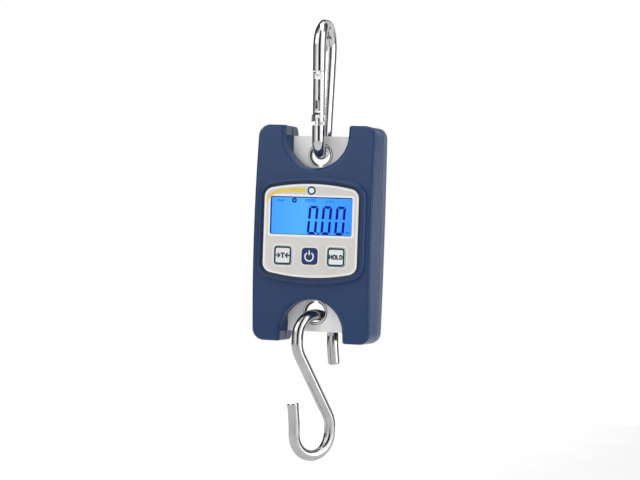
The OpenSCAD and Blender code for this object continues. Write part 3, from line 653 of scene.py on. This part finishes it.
back = Heap()
insets = (0, 0.05, 0.16, 0.34, 0.6, 0.92, 1.3, 1.75, 2.25, 2.8, 3.4, 4.0, 4.6)
strips = [outline(halfWidth, d) for d in insets]
back.strip([lifted(p, rearFaceAt) for p in strips])
places = [(sx * wells["x"], sz * wells["z"]) for sx in (-1, 1) for sz in (-1, 1)]
mouths = [doorLoop(door["mouth"][0][0])] + [ring(x, z, wells["r"] + wells["mouth"][0][0]) for x, z in places]
fillRegion(back, strips[-1], mouths, rearFaceAt, 2.0, [outline(halfWidth, d) for d in (5.2, 5.8, 6.5)])
back.strip(rimRows(rearRow, rearFaceAt(*strips[0].T), shell["seam"], 9, 1))
innerSteps = [outline(halfWidth, d) for d in (2.2, 2.3, 2.55, 3.0, 3.6)]
back.strip([rearRow(shell["wall"], shell["seam"])] + [lifted(p, rearInner) for p in innerSteps])
bayOuter = roundedBox(door["bayW"] + 2 * door["bayWall"], door["bayH"] + 2 * door["bayWall"], 1)
fillRegion(back, innerSteps[-1], [bayOuter] + [ring(x, z, wells["boss"]) for x, z in places], rearInner, 4)
bayLow = shell["seam"] + 0.1
for boss in [bayOuter] + [ring(x, z, wells["boss"]) for x, z in places]:
    back.strip([lifted(boss, rearInner), flat(boss, bayLow)], closeLast=True)
bay = roundedBox(door["bayW"], door["bayH"], door["corner"])
rows = [lifted(doorLoop(grow), rearFaceAt, drop) for grow, drop in door["mouth"]]
back.strip(rows + [flat(doorLoop(0), door["ledge"]), flat(bay, door["ledge"]), flat(bay, door["bayFloor"])],
           closeLast=True)
for x, z in places:
    rows = [lifted(ring(x, z, wells["r"] + grow), rearFaceAt, drop) for grow, drop in wells["mouth"]]
    back.strip(rows + [flat(ring(x, z, wells["r"]), wells["floor"])], closeLast=True)
back.make("rearShell", looks["navyRear"], "housing", "navy_rear", ["rear_shell"])
print("rear shell")

# wires: a round section carried along a path of lines and arcs in one plane
snapHook = {"wire": 7.5, "small": 8.0, "big": 13.2, "lowZ": 54.4, "highZ": 106.7, "yaw": 4, "hinge": 12.4,
            "shoulder": 3.75, "nose": 39.1, "tongue": 3.0, "ease": 0.4}
sHook = {"wire": 6.6, "r": 12.7, "topZ": -59.15, "span": 55.4, "slope": 32, "bend": 15, "splay": 7,
         "splayR": 60, "upperTip": 16, "lowerTip": 18, "yaw": 35, "ease": 0.9}


def bow(cs, ct, r, start, end, n, thick):
    # points of an arc with the heading of its outward side and the wire's radius
    heading = np.linspace(start, end, n + 1)
    return np.column_stack([arc(cs, ct, r, start, end, n), heading, np.full(n + 1, thick)])


def along(p, distance, thinner=0):
    # the point a distance further on where the wire runs straight, and its radius there
    a = radians(p[2])
    return np.array([[p[0] - distance * sin(a), p[1] + distance * cos(a), p[2], p[3] - thinner]])


def straight(p, start, end, n):
    return np.concatenate([along(p, d) for d in np.linspace(start, end, n)])


def tube(heap, path, lift, turn, sides=48):
    # each ring lies across the path: centre plus radius times (cos k outwards, sin k sideways)
    s, t, a, r = path.T
    k = np.radians(np.arange(sides) * 360 / sides)[None]
    u, v = r[:, None] * np.cos(k), r[:, None] * np.sin(k)
    ca, sa = np.cos(np.radians(a))[:, None], np.sin(np.radians(a))[:, None]
    length = np.concatenate([[0], np.cumsum(np.hypot(np.diff(s), np.diff(t)))])
    own = np.stack([np.broadcast_to(length[:, None], u.shape), u, v], 2).reshape(-1, 3)
    heap.strip(turned(s[:, None] + u * ca, v, t[:, None] + u * sa, lift, turn), True, True, own)


def turned(far, side, up, lift, turn):
    # from a hook's own plane to the housing's frame: turned about the vertical, then raised
    c, s = cos(radians(turn)), sin(radians(turn))
    return np.stack([far * c - side * s, far * s + side * c, up + lift], -1)


def roundTip(p, end, ease):
    # rings that shrink on a quarter circle towards a tip, which lies a distance along from a point
    way = 1 if end > 0 else -1
    turn = np.radians(np.linspace(90, 8, 7))
    rings = np.concatenate([along(p, end - way * ease * (1 - cos(t)), ease * (1 - sin(t))) for t in turn])
    return rings[::way]


rise = snapHook["highZ"] - snapHook["lowZ"]
lean = asin((snapHook["big"] - snapHook["small"]) / rise) * 180 / pi
legLength = rise * cos(radians(lean))
r = snapHook["wire"] / 2
low = bow(0, 0, snapHook["small"], 180 + lean, 360 - lean, 48, r)
high = bow(0, rise, snapHook["big"], 360 - lean, 540 + lean, 72, r)
gap = snapHook["hinge"] - snapHook["shoulder"]
noseTo = legLength - snapHook["nose"]
path = np.concatenate([roundTip(low[0], -gap, snapHook["ease"]), straight(low[0], -gap + 0.5, -0.3, 8), low,
                       straight(low[-1], 1, legLength - 1, 24), high,
                       straight(high[-1], 0.4, noseTo - 0.5, 5),
                       roundTip(high[-1], noseTo, snapHook["ease"])])
snap = Heap()
snapTurn = 90 + snapHook["yaw"]
tube(snap, path, snapHook["lowZ"], snapTurn)


def onGateSide(points):
    # x outwards from the gate's centre line, y sideways, z along the leg, to the housing's frame
    x, y, z = np.asarray(points, float).T
    c, s = cos(radians(lean)), sin(radians(lean))
    far, up = -((x + snapHook["small"]) * c + z * s), -(x + snapHook["small"]) * s + z * c
    return turned(far, y, up, snapHook["lowZ"], snapTurn)


def sidePlate(heap, profile, thick, soft=0.25):
    # a plate cut to a profile in the leg's plane, with its faces' edges eased
    away = profile - profile.mean(0)
    rows = []
    for y, inset in ((-thick, soft), (-thick + soft, 0), (thick - soft, 0), (thick, soft)):
        p = profile.mean(0) + away * (1 - inset / np.linalg.norm(away, axis=1))[:, None]
        rows.append(onGateSide(np.column_stack([p[:, 0], np.full(len(p), y), p[:, 1]])))
    heap.strip(rows, True, True)


reach = r - 0.5
waist = snapHook["hinge"] - gap / 2
eye = np.concatenate([arc(0, snapHook["hinge"], reach, 0, 180, 24),
                      [(-reach, waist), (-reach, gap - 1), (reach, gap - 1), (reach, waist)]])
sidePlate(snap, eye, snapHook["tongue"] / 2)
# the nose's latch tongue: half thickness, lower and upper end of its stem and of its head
tongue = {"out": r - 0.55, "in": r - 1.2, "parts": ((1.25, -2.6, 1.0), (1.95, -4.35, -1.8)), "ease": 0.12}
for thick, start, end in tongue["parts"]:
    profile = corners(-tongue["in"], start, tongue["out"], end) + (0, snapHook["nose"])
    sidePlate(snap, profile, thick, tongue["ease"])
snap.make("snapHook", looks["snapWire"], "snap", "snap_steel", ["snap_hook"], 40)

r = sHook["wire"] / 2
bend = sHook["bend"] * tan(radians(sHook["slope"]) / 2)
shank = sHook["span"] / 2 - sHook["r"] / tan(radians(sHook["slope"])) - bend
def halfHook(tipLength):
    # from a splayed tip over the bend and down the shank to the middle of the diagonal
    tip = bow(sHook["r"] + sHook["splayR"], 0, -sHook["splayR"], sHook["splay"], 0, 10, r)
    rest = tipLength - sHook["splayR"] * sin(radians(sHook["splay"]))
    loop = bow(0, 0, sHook["r"], 0, 180, 72, r)[1:]
    turnIn = bow(sHook["bend"] - sHook["r"], -shank, sHook["bend"], 180, 180 + sHook["slope"], 14, r)
    return np.concatenate([roundTip(tip[0], -rest, sHook["ease"]), straight(tip[0], 1.1 - rest, -0.4, 8), tip,
                           loop, straight(loop[-1], 0.8, shank - 0.8, 6), turnIn])


upperHalf = halfHook(sHook["upperTip"])
lowerHalf = halfHook(sHook["lowerTip"])[::-1] * (-1, -1, 1, 1) + (0, -sHook["span"], 0, 0)
hook = Heap()
tube(hook, np.concatenate([upperHalf, lowerHalf]), sHook["topZ"], 90 - sHook["yaw"])
hook.make("sHook", looks["hookWire"], "s_hook", "hook_steel", ["s_hook"], 40)
print("snap hook and S-hook")

# painted shade on the split bushes: a dark ring round each flange on the plate, a painted contact shadow, and
# a dark sleeve in each bore, painted shade in the hollow
bush = {"bore": 5.6, "flange": 6.95, "face": 1.85, "plate": 1.53, "ease": 0.9, "gap": 2.8}
throat = bush["face"] - bush["ease"]
flangeShadow = [(bush["flange"] + out, bush[at] + lift) for out, at, lift in
        ((-0.12, "face", 0.02), (0.1, "face", -0.02), (0.28, "plate", 0.12),
         (0.32, "plate", 0), (-0.12, "plate", 0))]
boreShade = [(bush["bore"] + out, throat + lift) for out, lift in
          ((-0.03, -0.3), (-0.03, 0), (0.36, 0.42), (0.45, 0.4), (0.05, -0.3))]


def splitRing(heap, section, cz, gapAt):
    # a section of (radius, depth) points swept round the bore from one side of the gap to the other
    radius, depth = np.array(section).T
    part = asin(bush["gap"] / 2 / bush["bore"])
    a = np.linspace(part, 2 * pi - part, 73)[:, None] + radians(gapAt)
    heap.strip(np.stack([radius * np.cos(a), depth + 0 * a, cz + radius * np.sin(a)], 2), True, True)


for name, node, gapAt in (("upperBushShade", "upper_bush", -90), ("lowerBushShade", "lower_bush", 90)):
    cz = (inMm(node)[0][2] + inMm(node)[1][2]) / 2
    edges = Heap()
    for side in (-1, 1):
        for section in (flangeShadow, boreShade):
            splitRing(edges, [(radius, side * depth) for radius, depth in section], cz, gapAt)
    edges.make(name, looks["bushShade"], node, "bush_steel")
print("bush shade rings")

# painted shade: a darker navy sheet over the inner slope of the bezel, down to the panel, where the slope
# falls in shade
slope = {"from": 0.14, "to": 1.95, "proud": 0.03, "deep": 0.12}
slopeShade = Heap()
grows = np.linspace(slope["to"], slope["from"], 14)
falls = np.arcsin(np.clip((panel["ridge"] - grows) / (panel["ridge"] - panel["lap"]), 0, 1))
slopeShadeRows = [(arched(grow), slopeDepth(fall)) for grow, fall in zip(grows, falls)]
outerSide = [flat(p, y - slope["proud"]) for p, y in slopeShadeRows]
innerSide = [flat(p, y + slope["deep"]) for p, y in slopeShadeRows[::-1]]
slopeShade.strip(outerSide + innerSide + outerSide[:1])
slopeShade.make("bezelSlopeShade", looks["navySlopeShade"], "housing", "navy_front")
print("bezel slope shade")

# key caps: a rounded square with eased edges on a wider flange, and a shallow dish in its top
ink = 0.04


def keyRow(key, inset, y):
    return flat(keyBox(key, -inset, max(cap["corner"] - inset, 0.3)), y)


def keyCap(name, node, material, slot):
    # the dish from its middle out, an edge that falls on a quarter circle, then the flange
    key, e, out = keys[node], cap["ease"], -cap["flange"] / 2
    face = key["face"]
    rows = [keyRow(key, d, face + cap["dish"] * share) for d, share in ((2.4, 1), (1.6, 0.7), (1.0, 0.2))]
    rows += [keyRow(key, e - e * sin(t), face + e - e * cos(t)) for t in np.radians(np.linspace(0, 90, 7))]
    rows += [keyRow(key, 0, cap["flangeFront"]), keyRow(key, out, cap["flangeFront"]),
             keyRow(key, out, cap["flangeBack"])]
    piece = Heap()
    piece.strip(rows, True, True)
    piece.make(name, material, node, slot, [node])


keyCap("tareKey", "tare_key", looks["keyWhite"], "key_white")
keyCap("powerKey", "power_key", looks["keyNavy"], "key_navy")
keyCap("holdKey", "hold_key", looks["keyWhite"], "key_white")


def squareBand(heap, key, inset, width, y1, y2, corner):
    heap.band(keyBox(key, -inset, corner), keyBox(key, -inset - width, max(corner - width, 0.3)), y1, y2)


# strokes that cross lie a layer apart, so that no two printed faces coincide
marks = {"inset": 0.14, "frame": 1.0, "corner": 1.75, "base": 0.1, "stroke": 0.68, "layer": 0.003}
arrow = {"tip": 1.75, "tail": 4.3, "barb": (1.25, 1.3), "past": 0.15, "barbStroke": 0.73}
tee = {"low": -1.5, "top": 1.3, "stem": 0.8, "barZ": 1.2, "reach": 1.25, "bar": 0.7}
faceY = keys["tare_key"]["face"]
inkTop, inkLow = faceY - ink, faceY + cap["dish"]
tare = Heap()
key = keys["tare_key"]
x, z = key["x"], key["z"]
squareBand(tare, key, marks["inset"], marks["frame"], inkTop, faceY + marks["base"], marks["corner"])
for side in (-1, 1):
    tipX = x + side * arrow["tip"]
    tare.stroke([(x + side * arrow["tail"], z), (tipX, z)], marks["stroke"], inkTop, inkLow)
    for lift in (-1, 1):
        barb = [(tipX + side * arrow["barb"][0], z + lift * arrow["barb"][1]),
                (tipX - side * arrow["past"], z)]
        tare.stroke(barb, arrow["barbStroke"], inkTop - marks["layer"] * (lift + 2), inkLow)
tare.stroke([(x, z + tee["low"]), (x, z + tee["top"])], tee["stem"], inkTop, inkLow)
tare.stroke([(x - tee["reach"], z + tee["barZ"]), (x + tee["reach"], z + tee["barZ"])], tee["bar"],
            inkTop - marks["layer"], inkLow)
tare.make("tareKeyPrint", looks["teal"], "tare_key", "key_white")

onOff = {"r": 2.45, "sink": 0.25, "from": 124, "to": 416, "barLow": 0.7, "barTop": 3.2, "stroke": 0.72}
power = Heap()
key = keys["power_key"]
x, z, inkTop = key["x"], key["z"], key["face"] - ink
sweep = arc(x, z - onOff["sink"], onOff["r"], onOff["from"], onOff["to"], 48)
power.stroke(sweep, onOff["stroke"], inkTop, inkLow)
power.stroke([(x, z + onOff["barLow"]), (x, z + onOff["barTop"])], onOff["stroke"], inkTop, inkLow)
power.make("powerKeyPrint", looks["white"], "power_key", "key_navy")

hold = Heap()
key = keys["hold_key"]
inkTop = key["face"] - ink
squareBand(hold, key, marks["inset"], marks["frame"], inkTop, faceY + marks["base"], marks["corner"])
allRound = np.linspace(0.05, 2 * pi + 0.05, 24)
letters = {"H": [[(0, 0), (0, 1)], [(1, 0), (1, 1)], [(0, 0.5), (1, 0.5)]],
           "O": [np.column_stack([0.5 + 0.5 * np.cos(allRound), 0.5 + 0.5 * np.sin(allRound)])],
           "L": [[(0, 1), (0, 0)], [(0, 0.04), (1, 0.04)]],
           "D": [[(0, 0), (0, 1)], [(0, 0.96), (0.45, 0.95), (0.8, 0.82), (0.97, 0.62), (1, 0.5),
                                    (0.97, 0.38), (0.8, 0.18), (0.45, 0.05), (0, 0.04)]]}
word = {"height": 2.4, "stroke": 0.66, "left": -3.75, "widths": (1.35, 1.55, 1.1, 1.35), "gap": 0.72}
penX = key["x"] + word["left"]
for letter, width in zip("HOLD", word["widths"]):
    for n, stroke in enumerate(letters[letter]):
        place = np.array(stroke) * (width, word["height"]) + (penX, key["z"] - word["height"] / 2)
        hold.stroke(place, word["stroke"], inkTop - marks["layer"] * n, inkLow)
    penX += width + word["gap"]
hold.make("holdKeyPrint", looks["teal"], "hold_key", "key_white")
print("keys")

# panel print: pale border lines, an accent stripe and a plain ring
lines = {"frame": (-0.05, -1.3), "windowOut": (1.25, 1.5), "windowIn": (0.1, 0.9), "key": (-1.1, 0.75, 2.6),
         "layer": 0.004}
accent = {"ends": np.array([(-26.6, 17.3), (-25.9, 23.7), (-19.5, 24.35), (-3.9, 24.7)]),
          "thin": 0.9, "grow": 1.4}
badge = {"x": -0.1, "z": 24.45, "r": 2.5, "hole": 1.5, "disc": 1.55}
onPanel = panelFront - ink, panelFront + 0.05
overlay = onPanel[0] - lines["layer"], onPanel[1]
white = Heap()
white.band(*(arched(grow) for grow in lines["frame"]), *onPanel)
white.band(windowBox(*lines["windowOut"]), windowBox(*lines["windowIn"]), *onPanel)
inset, width, corner = lines["key"]
for key in keys.values():
    squareBand(white, key, inset, width, *onPanel, corner)
white.prism(ring(badge["x"], badge["z"], badge["disc"], 32), *onPanel)
white.make("panelBorders", looks["white"], "housing", "panel_print")
# the stripe follows a cubic curve through four control points and widens with the root of the way along
stripe = Heap()
t = np.linspace(0, 1, 40)[:, None]
shares = [(1 - t) ** 3, 3 * t * (1 - t) ** 2, 3 * t * t * (1 - t), t ** 3]
curve = sum(share * end for share, end in zip(shares, accent["ends"]))
stripe.stroke(curve, accent["thin"] + accent["grow"] * np.sqrt(t), *overlay)
stripe.make("panelStripe", looks["yellow"], "housing", "panel_print")
plainRing = Heap()
plainRing.band(*(ring(badge["x"], badge["z"], badge[size]) for size in ("r", "hole")), *overlay)
plainRing.make("panelRing", looks["navyInk"], "housing", "panel_print")

# display: a lit screen, dark slanted segments that read 0.00, painted shadow bands along its top and left
# edges, faint idle marks and a clear pane
digit = {"left": -2.5, "low": -0.35, "w": 5.7, "h": 16.2, "bar": 1.45, "slant": 0.065, "pitch": 8.15,
         "gap": 0.12, "waist": 0.5, "point": 1.2, "pointGap": 0.6}
windowShadow = {"top": 0.45, "left": 0.5, "layers": (0.01, 0.015)}
sign = {"x": -10.4, "z": 18.75, "r": 1.45, "hole": 0.55}


def slab(name, material, slot, low, high, corner, eased, replaced):
    # a rounded sheet, its front edge eased in steps of (inset, depth), and its back flat
    w, h = (high - low)[[0, 2]]
    rows = [flat(roundedBox(w - 2 * d, h - 2 * d, corner, 6, 0, window["z"]), y)
            for d, y in [(d, low[1] + y) for d, y in eased] + [(0, high[1])]]
    sheet = Heap()
    sheet.strip(rows, True, True)
    sheet.make(name, material, "housing", slot, [replaced])


slab("litScreen", looks["display"], "lcd_blue", screenLow, screenHigh, 0.5, ((0.15, 0), (0, 0.15)),
     "lcd_glass")
depths = screenLow[1] - 0.03, screenLow[1] + 0.03  # of the segments, either side of the screen's face


def leaned(points, x0):
    # a digit's own points, leaned over by its slant and set at its place
    p = np.asarray(points, float)
    return np.column_stack([p[:, 0] + p[:, 1] * digit["slant"] + x0, p[:, 1] + digit["low"]])


def segments():
    # outlines of the six outer bars of a digit: mitred at its corners, pointed and parted at its waist
    w, h, b, g = digit["w"], digit["h"], digit["bar"], digit["gap"]
    m = h / 2 + digit["waist"]
    top = [(g + b * 0.35, h), (w - g - b * 0.35, h), (w - b - g, h - b), (b + g, h - b)]
    upLeft = [(0, h - g - b * 0.35), (b, h - b - g), (b, m + b * 0.3), (b * 0.4, m), (0, m + b * 0.2)]
    upper = [top, upLeft, [(w - x, z) for x, z in upLeft]]
    return upper + [[(x, h - z) for x, z in bar] for bar in upper]


dark = Heap()
for i in range(3):
    for bar in segments():
        dark.prism(leaned(bar, digit["left"] + i * digit["pitch"]), *depths)
dotX = digit["left"] + digit["w"] + digit["pointGap"]
dark.prism(leaned(corners(0, 0, digit["point"], digit["point"]), dotX), *depths)
dark.band(*(ring(sign["x"], sign["z"], sign[size], 28) for size in ("r", "hole")), *depths)
edgeX, lowZ, highZ = window["w"] / 2, window["z"] - window["h"] / 2, window["z"] + window["h"] / 2
# painted shadow: dark bands along the screen's top and left edges, where the window's edge shades it
shades = [corners(-edgeX, highZ - windowShadow["top"], edgeX, highZ),
          corners(-edgeX, lowZ, windowShadow["left"] - edgeX, highZ)]
for shade, layer in zip(shades, windowShadow["layers"]):
    dark.prism(shade, depths[0] - layer, depths[1])
dark.make("displayDigitsAndShadow", looks["segment"], "housing", "lcd_blue")

# idle marks: bars as (x, z, width, height), rounded frames in a row, and a small arrowhead
faint = {"bars": ((-19.9, 18.5, 1.1, 1.0), (-18.4, 18.5, 0.7, 1.0), (-17.3, 18.5, 1.0, 1.0), 
                  (9.0, 18.5, 1.4, 0.45), (12.4, 18.5, 1.4, 0.45), (21.2, 1.2, 1.0, 1.2),
                  (22.5, 1.2, 0.8, 1.2)),
         "frames": (-3.2, -1.5, 0.2, 1.7), "frameZ": 18.8,
         "arrow": [(10.1, 18.9), (11.7, 18.9), (10.9, 17.9)]}
idle = Heap()
for x, z, w, h in faint["bars"]:
    idle.prism(roundedBox(w, h, 0.15, 3, x, z), *depths)
for x in faint["frames"]:
    frames = (roundedBox(w, h, r, 4, x, faint["frameZ"]) for w, h, r in ((1.3, 1.7, 0.4), (0.7, 1.1, 0.2)))
    idle.band(*frames, *depths)
idle.prism(faint["arrow"], *depths)
idle.make("displayIdleMarks", looks["faint"], "housing", "lcd_blue")
slab("displayPane", looks["pane"], "window_clear", lensLow, lensHigh, 1.0, ((0.2, 0), (0.05, 0.05), (0, 0.2)),
     "display_window")
print("panel print and display")

finishes = {"gate": ["gate"], "rivet": ["gate_rivet"], "spring": ["gate_spring", "battery_springs"],
            "bush": ["upper_bush", "lower_bush"], "plate": ["upper_plate", "lower_plate"], "panel": ["panel"],
            "navyCover": ["battery_cover"], "diffuser": ["backlight"], "board": ["main_board"],
            "black": ["lcd_frame", "key_switches", "power_leads"], "aluminium": ["load_cell"],
            "sealant": ["gauge_seal"], "redLead": ["cell_leads"], "contact": ["battery_contacts"],
            "screw": ["cell_screws", "board_screws", "shell_screws"],
            "sleeve": ["battery_1", "battery_2", "battery_3"]}
for look, nodes in finishes.items():
    for node in nodes:
        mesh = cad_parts[node].data
        mesh.materials.clear()
        mesh.materials.append(looks[look])
print("finishes on", sum(map(len, finishes.values())), "kept pieces")

# floor: a round pale slab a little below the hook, with a softened rim
ground = {"radius": 1.3, "drop": 0.09, "profile": ((0.5, 0), (1, 0), (1.002, -0.004), (1.002, -0.02)),
          "tone": (0.86, 0.86, 0.86), "patch": (0.82, 0.82, 0.825), "rough": 0.7}
floorTop = cadBox[0][2] - ground["drop"]
rim = np.radians(np.arange(0, 360, 3))
circle = ground["radius"] * np.column_stack([np.cos(rim), np.sin(rim)])
rows = np.concatenate([np.column_stack([circle * share, np.full(len(rim), floorTop + drop)])
                       for share, drop in ground["profile"]])
mesh = bpy.data.meshes.new("floor")
mesh.from_pydata(rows.tolist(), [], gridFaces(len(ground["profile"]), len(rim)) + [list(range(len(rim)))])
floor = newObject("floor", mesh)
mat, tree, shader, place = newMaterial("paleGround")
base = mixOf(tree, rangeOf(tree, noiseOf(tree, place, 6, 3), 0, 1), ground["tone"], ground["patch"])
feed(shader, {"Base Color": base, "Roughness": ground["rough"]})
mesh.materials.append(mat)

# soft light: (name, place, size, power, colour), each aimed at the housing
lamps = [("keyLight", (-1.3, -1.3, 1.1), (1.2, 1.2), 11, (1.0, 0.995, 0.98)),
         ("sideLight", (1.7, 0.1, 0.5), (0.8, 1.6), 10, (0.97, 0.985, 1.0)),
         ("topLight", (0.1, 0.1, 1.5), (1.2, 0.8), 8, (1.0, 1.0, 1.0)),
         ("rearLight", (-0.8, 1.6, 0.5), (1.2, 1.2), 14, (1.0, 1.0, 1.0))]
for name, where, area, power, colour in lamps:
    light = bpy.data.lights.new(name, "AREA")
    light.shape = "RECTANGLE"
    light.size, light.size_y = area
    light.energy, light.color = power, colour
    lamp = newObject(name, light)
    lamp.location = Vector(where) + Vector(middle)
    lamp.rotation_euler = (Vector(middle) - lamp.location).to_track_quat("-Z", "Y").to_euler()

# surroundings: white behind, with soft darker bands round the horizon for the polished wires to mirror
world = bpy.data.worlds.new("surroundings")
bpy.context.scene.world = world
world.use_nodes = True
tree = world.node_tree
shade = tree.nodes["Background"]
path = tree.nodes.new("ShaderNodeLightPath")
sweep = tree.nodes.new("ShaderNodeTexGradient")
sweep.gradient_type = "RADIAL"
tree.links.new(tree.nodes.new("ShaderNodeTexCoord").outputs["Generated"], sweep.inputs["Vector"])
bands = tree.nodes.new("ShaderNodeValToRGB")
tones = [(0.0, 0.1), (0.05, 0.12), (0.08, 0.45), (0.14, 0.75), (0.19, 1.4), (0.238, 1.45), (0.262, 0.06),
         (0.28, 0.02), (0.345, 0.02), (0.36, 0.3), (0.38, 1.1), (0.41, 1.7), (0.48, 1.7), (0.51, 0.4),
         (0.56, 0.3), (0.60, 0.1), (0.66, 0.08), (0.67, 0.85), (0.73, 0.85), (0.74, 0.06),
         (0.94, 0.06), (1.0, 0.1)]
fillRamp(bands, [(where, (tone, tone, tone)) for where, tone in tones])
feed(bands, {"Fac": sweep.outputs["Fac"]})
seen = mixOf(tree, path.outputs["Is Camera Ray"], bands.outputs["Color"], (1.0, 1.0, 1.0))
feed(shade, {"Color": seen, "Strength": 1.0})

# camera: long lens a little to the right of the housing's front, level, tilted a touch
view = {"azimuth": 18.09, "elevation": 0.1, "roll": 1.95, "distance": 1.1272, "lens": 110.4, "sensor": 36,
        "shiftX": 0.002, "shiftY": -0.0095}
az, el = radians(view["azimuth"]), radians(view["elevation"])
toward = Vector((sin(az) * cos(el), -cos(az) * cos(el), sin(el)))
lensData = bpy.data.cameras.new("camera")
lensData.lens, lensData.sensor_width = view["lens"], view["sensor"]
lensData.shift_x, lensData.shift_y = view["shiftX"], view["shiftY"]
lensData.clip_start, lensData.clip_end = 0.05, 20
camera = newObject("camera", lensData)
camera.location = Vector(middle) + toward * view["distance"]
aim = (-toward).to_track_quat("-Z", "Y")
camera.rotation_euler = (aim.to_matrix() @ Matrix.Rotation(radians(view["roll"]), 3, "Z")).to_euler()
bpy.context.scene.camera = camera
bpy.context.scene.view_settings.view_transform = "Standard"
print("stage, lights and camera")
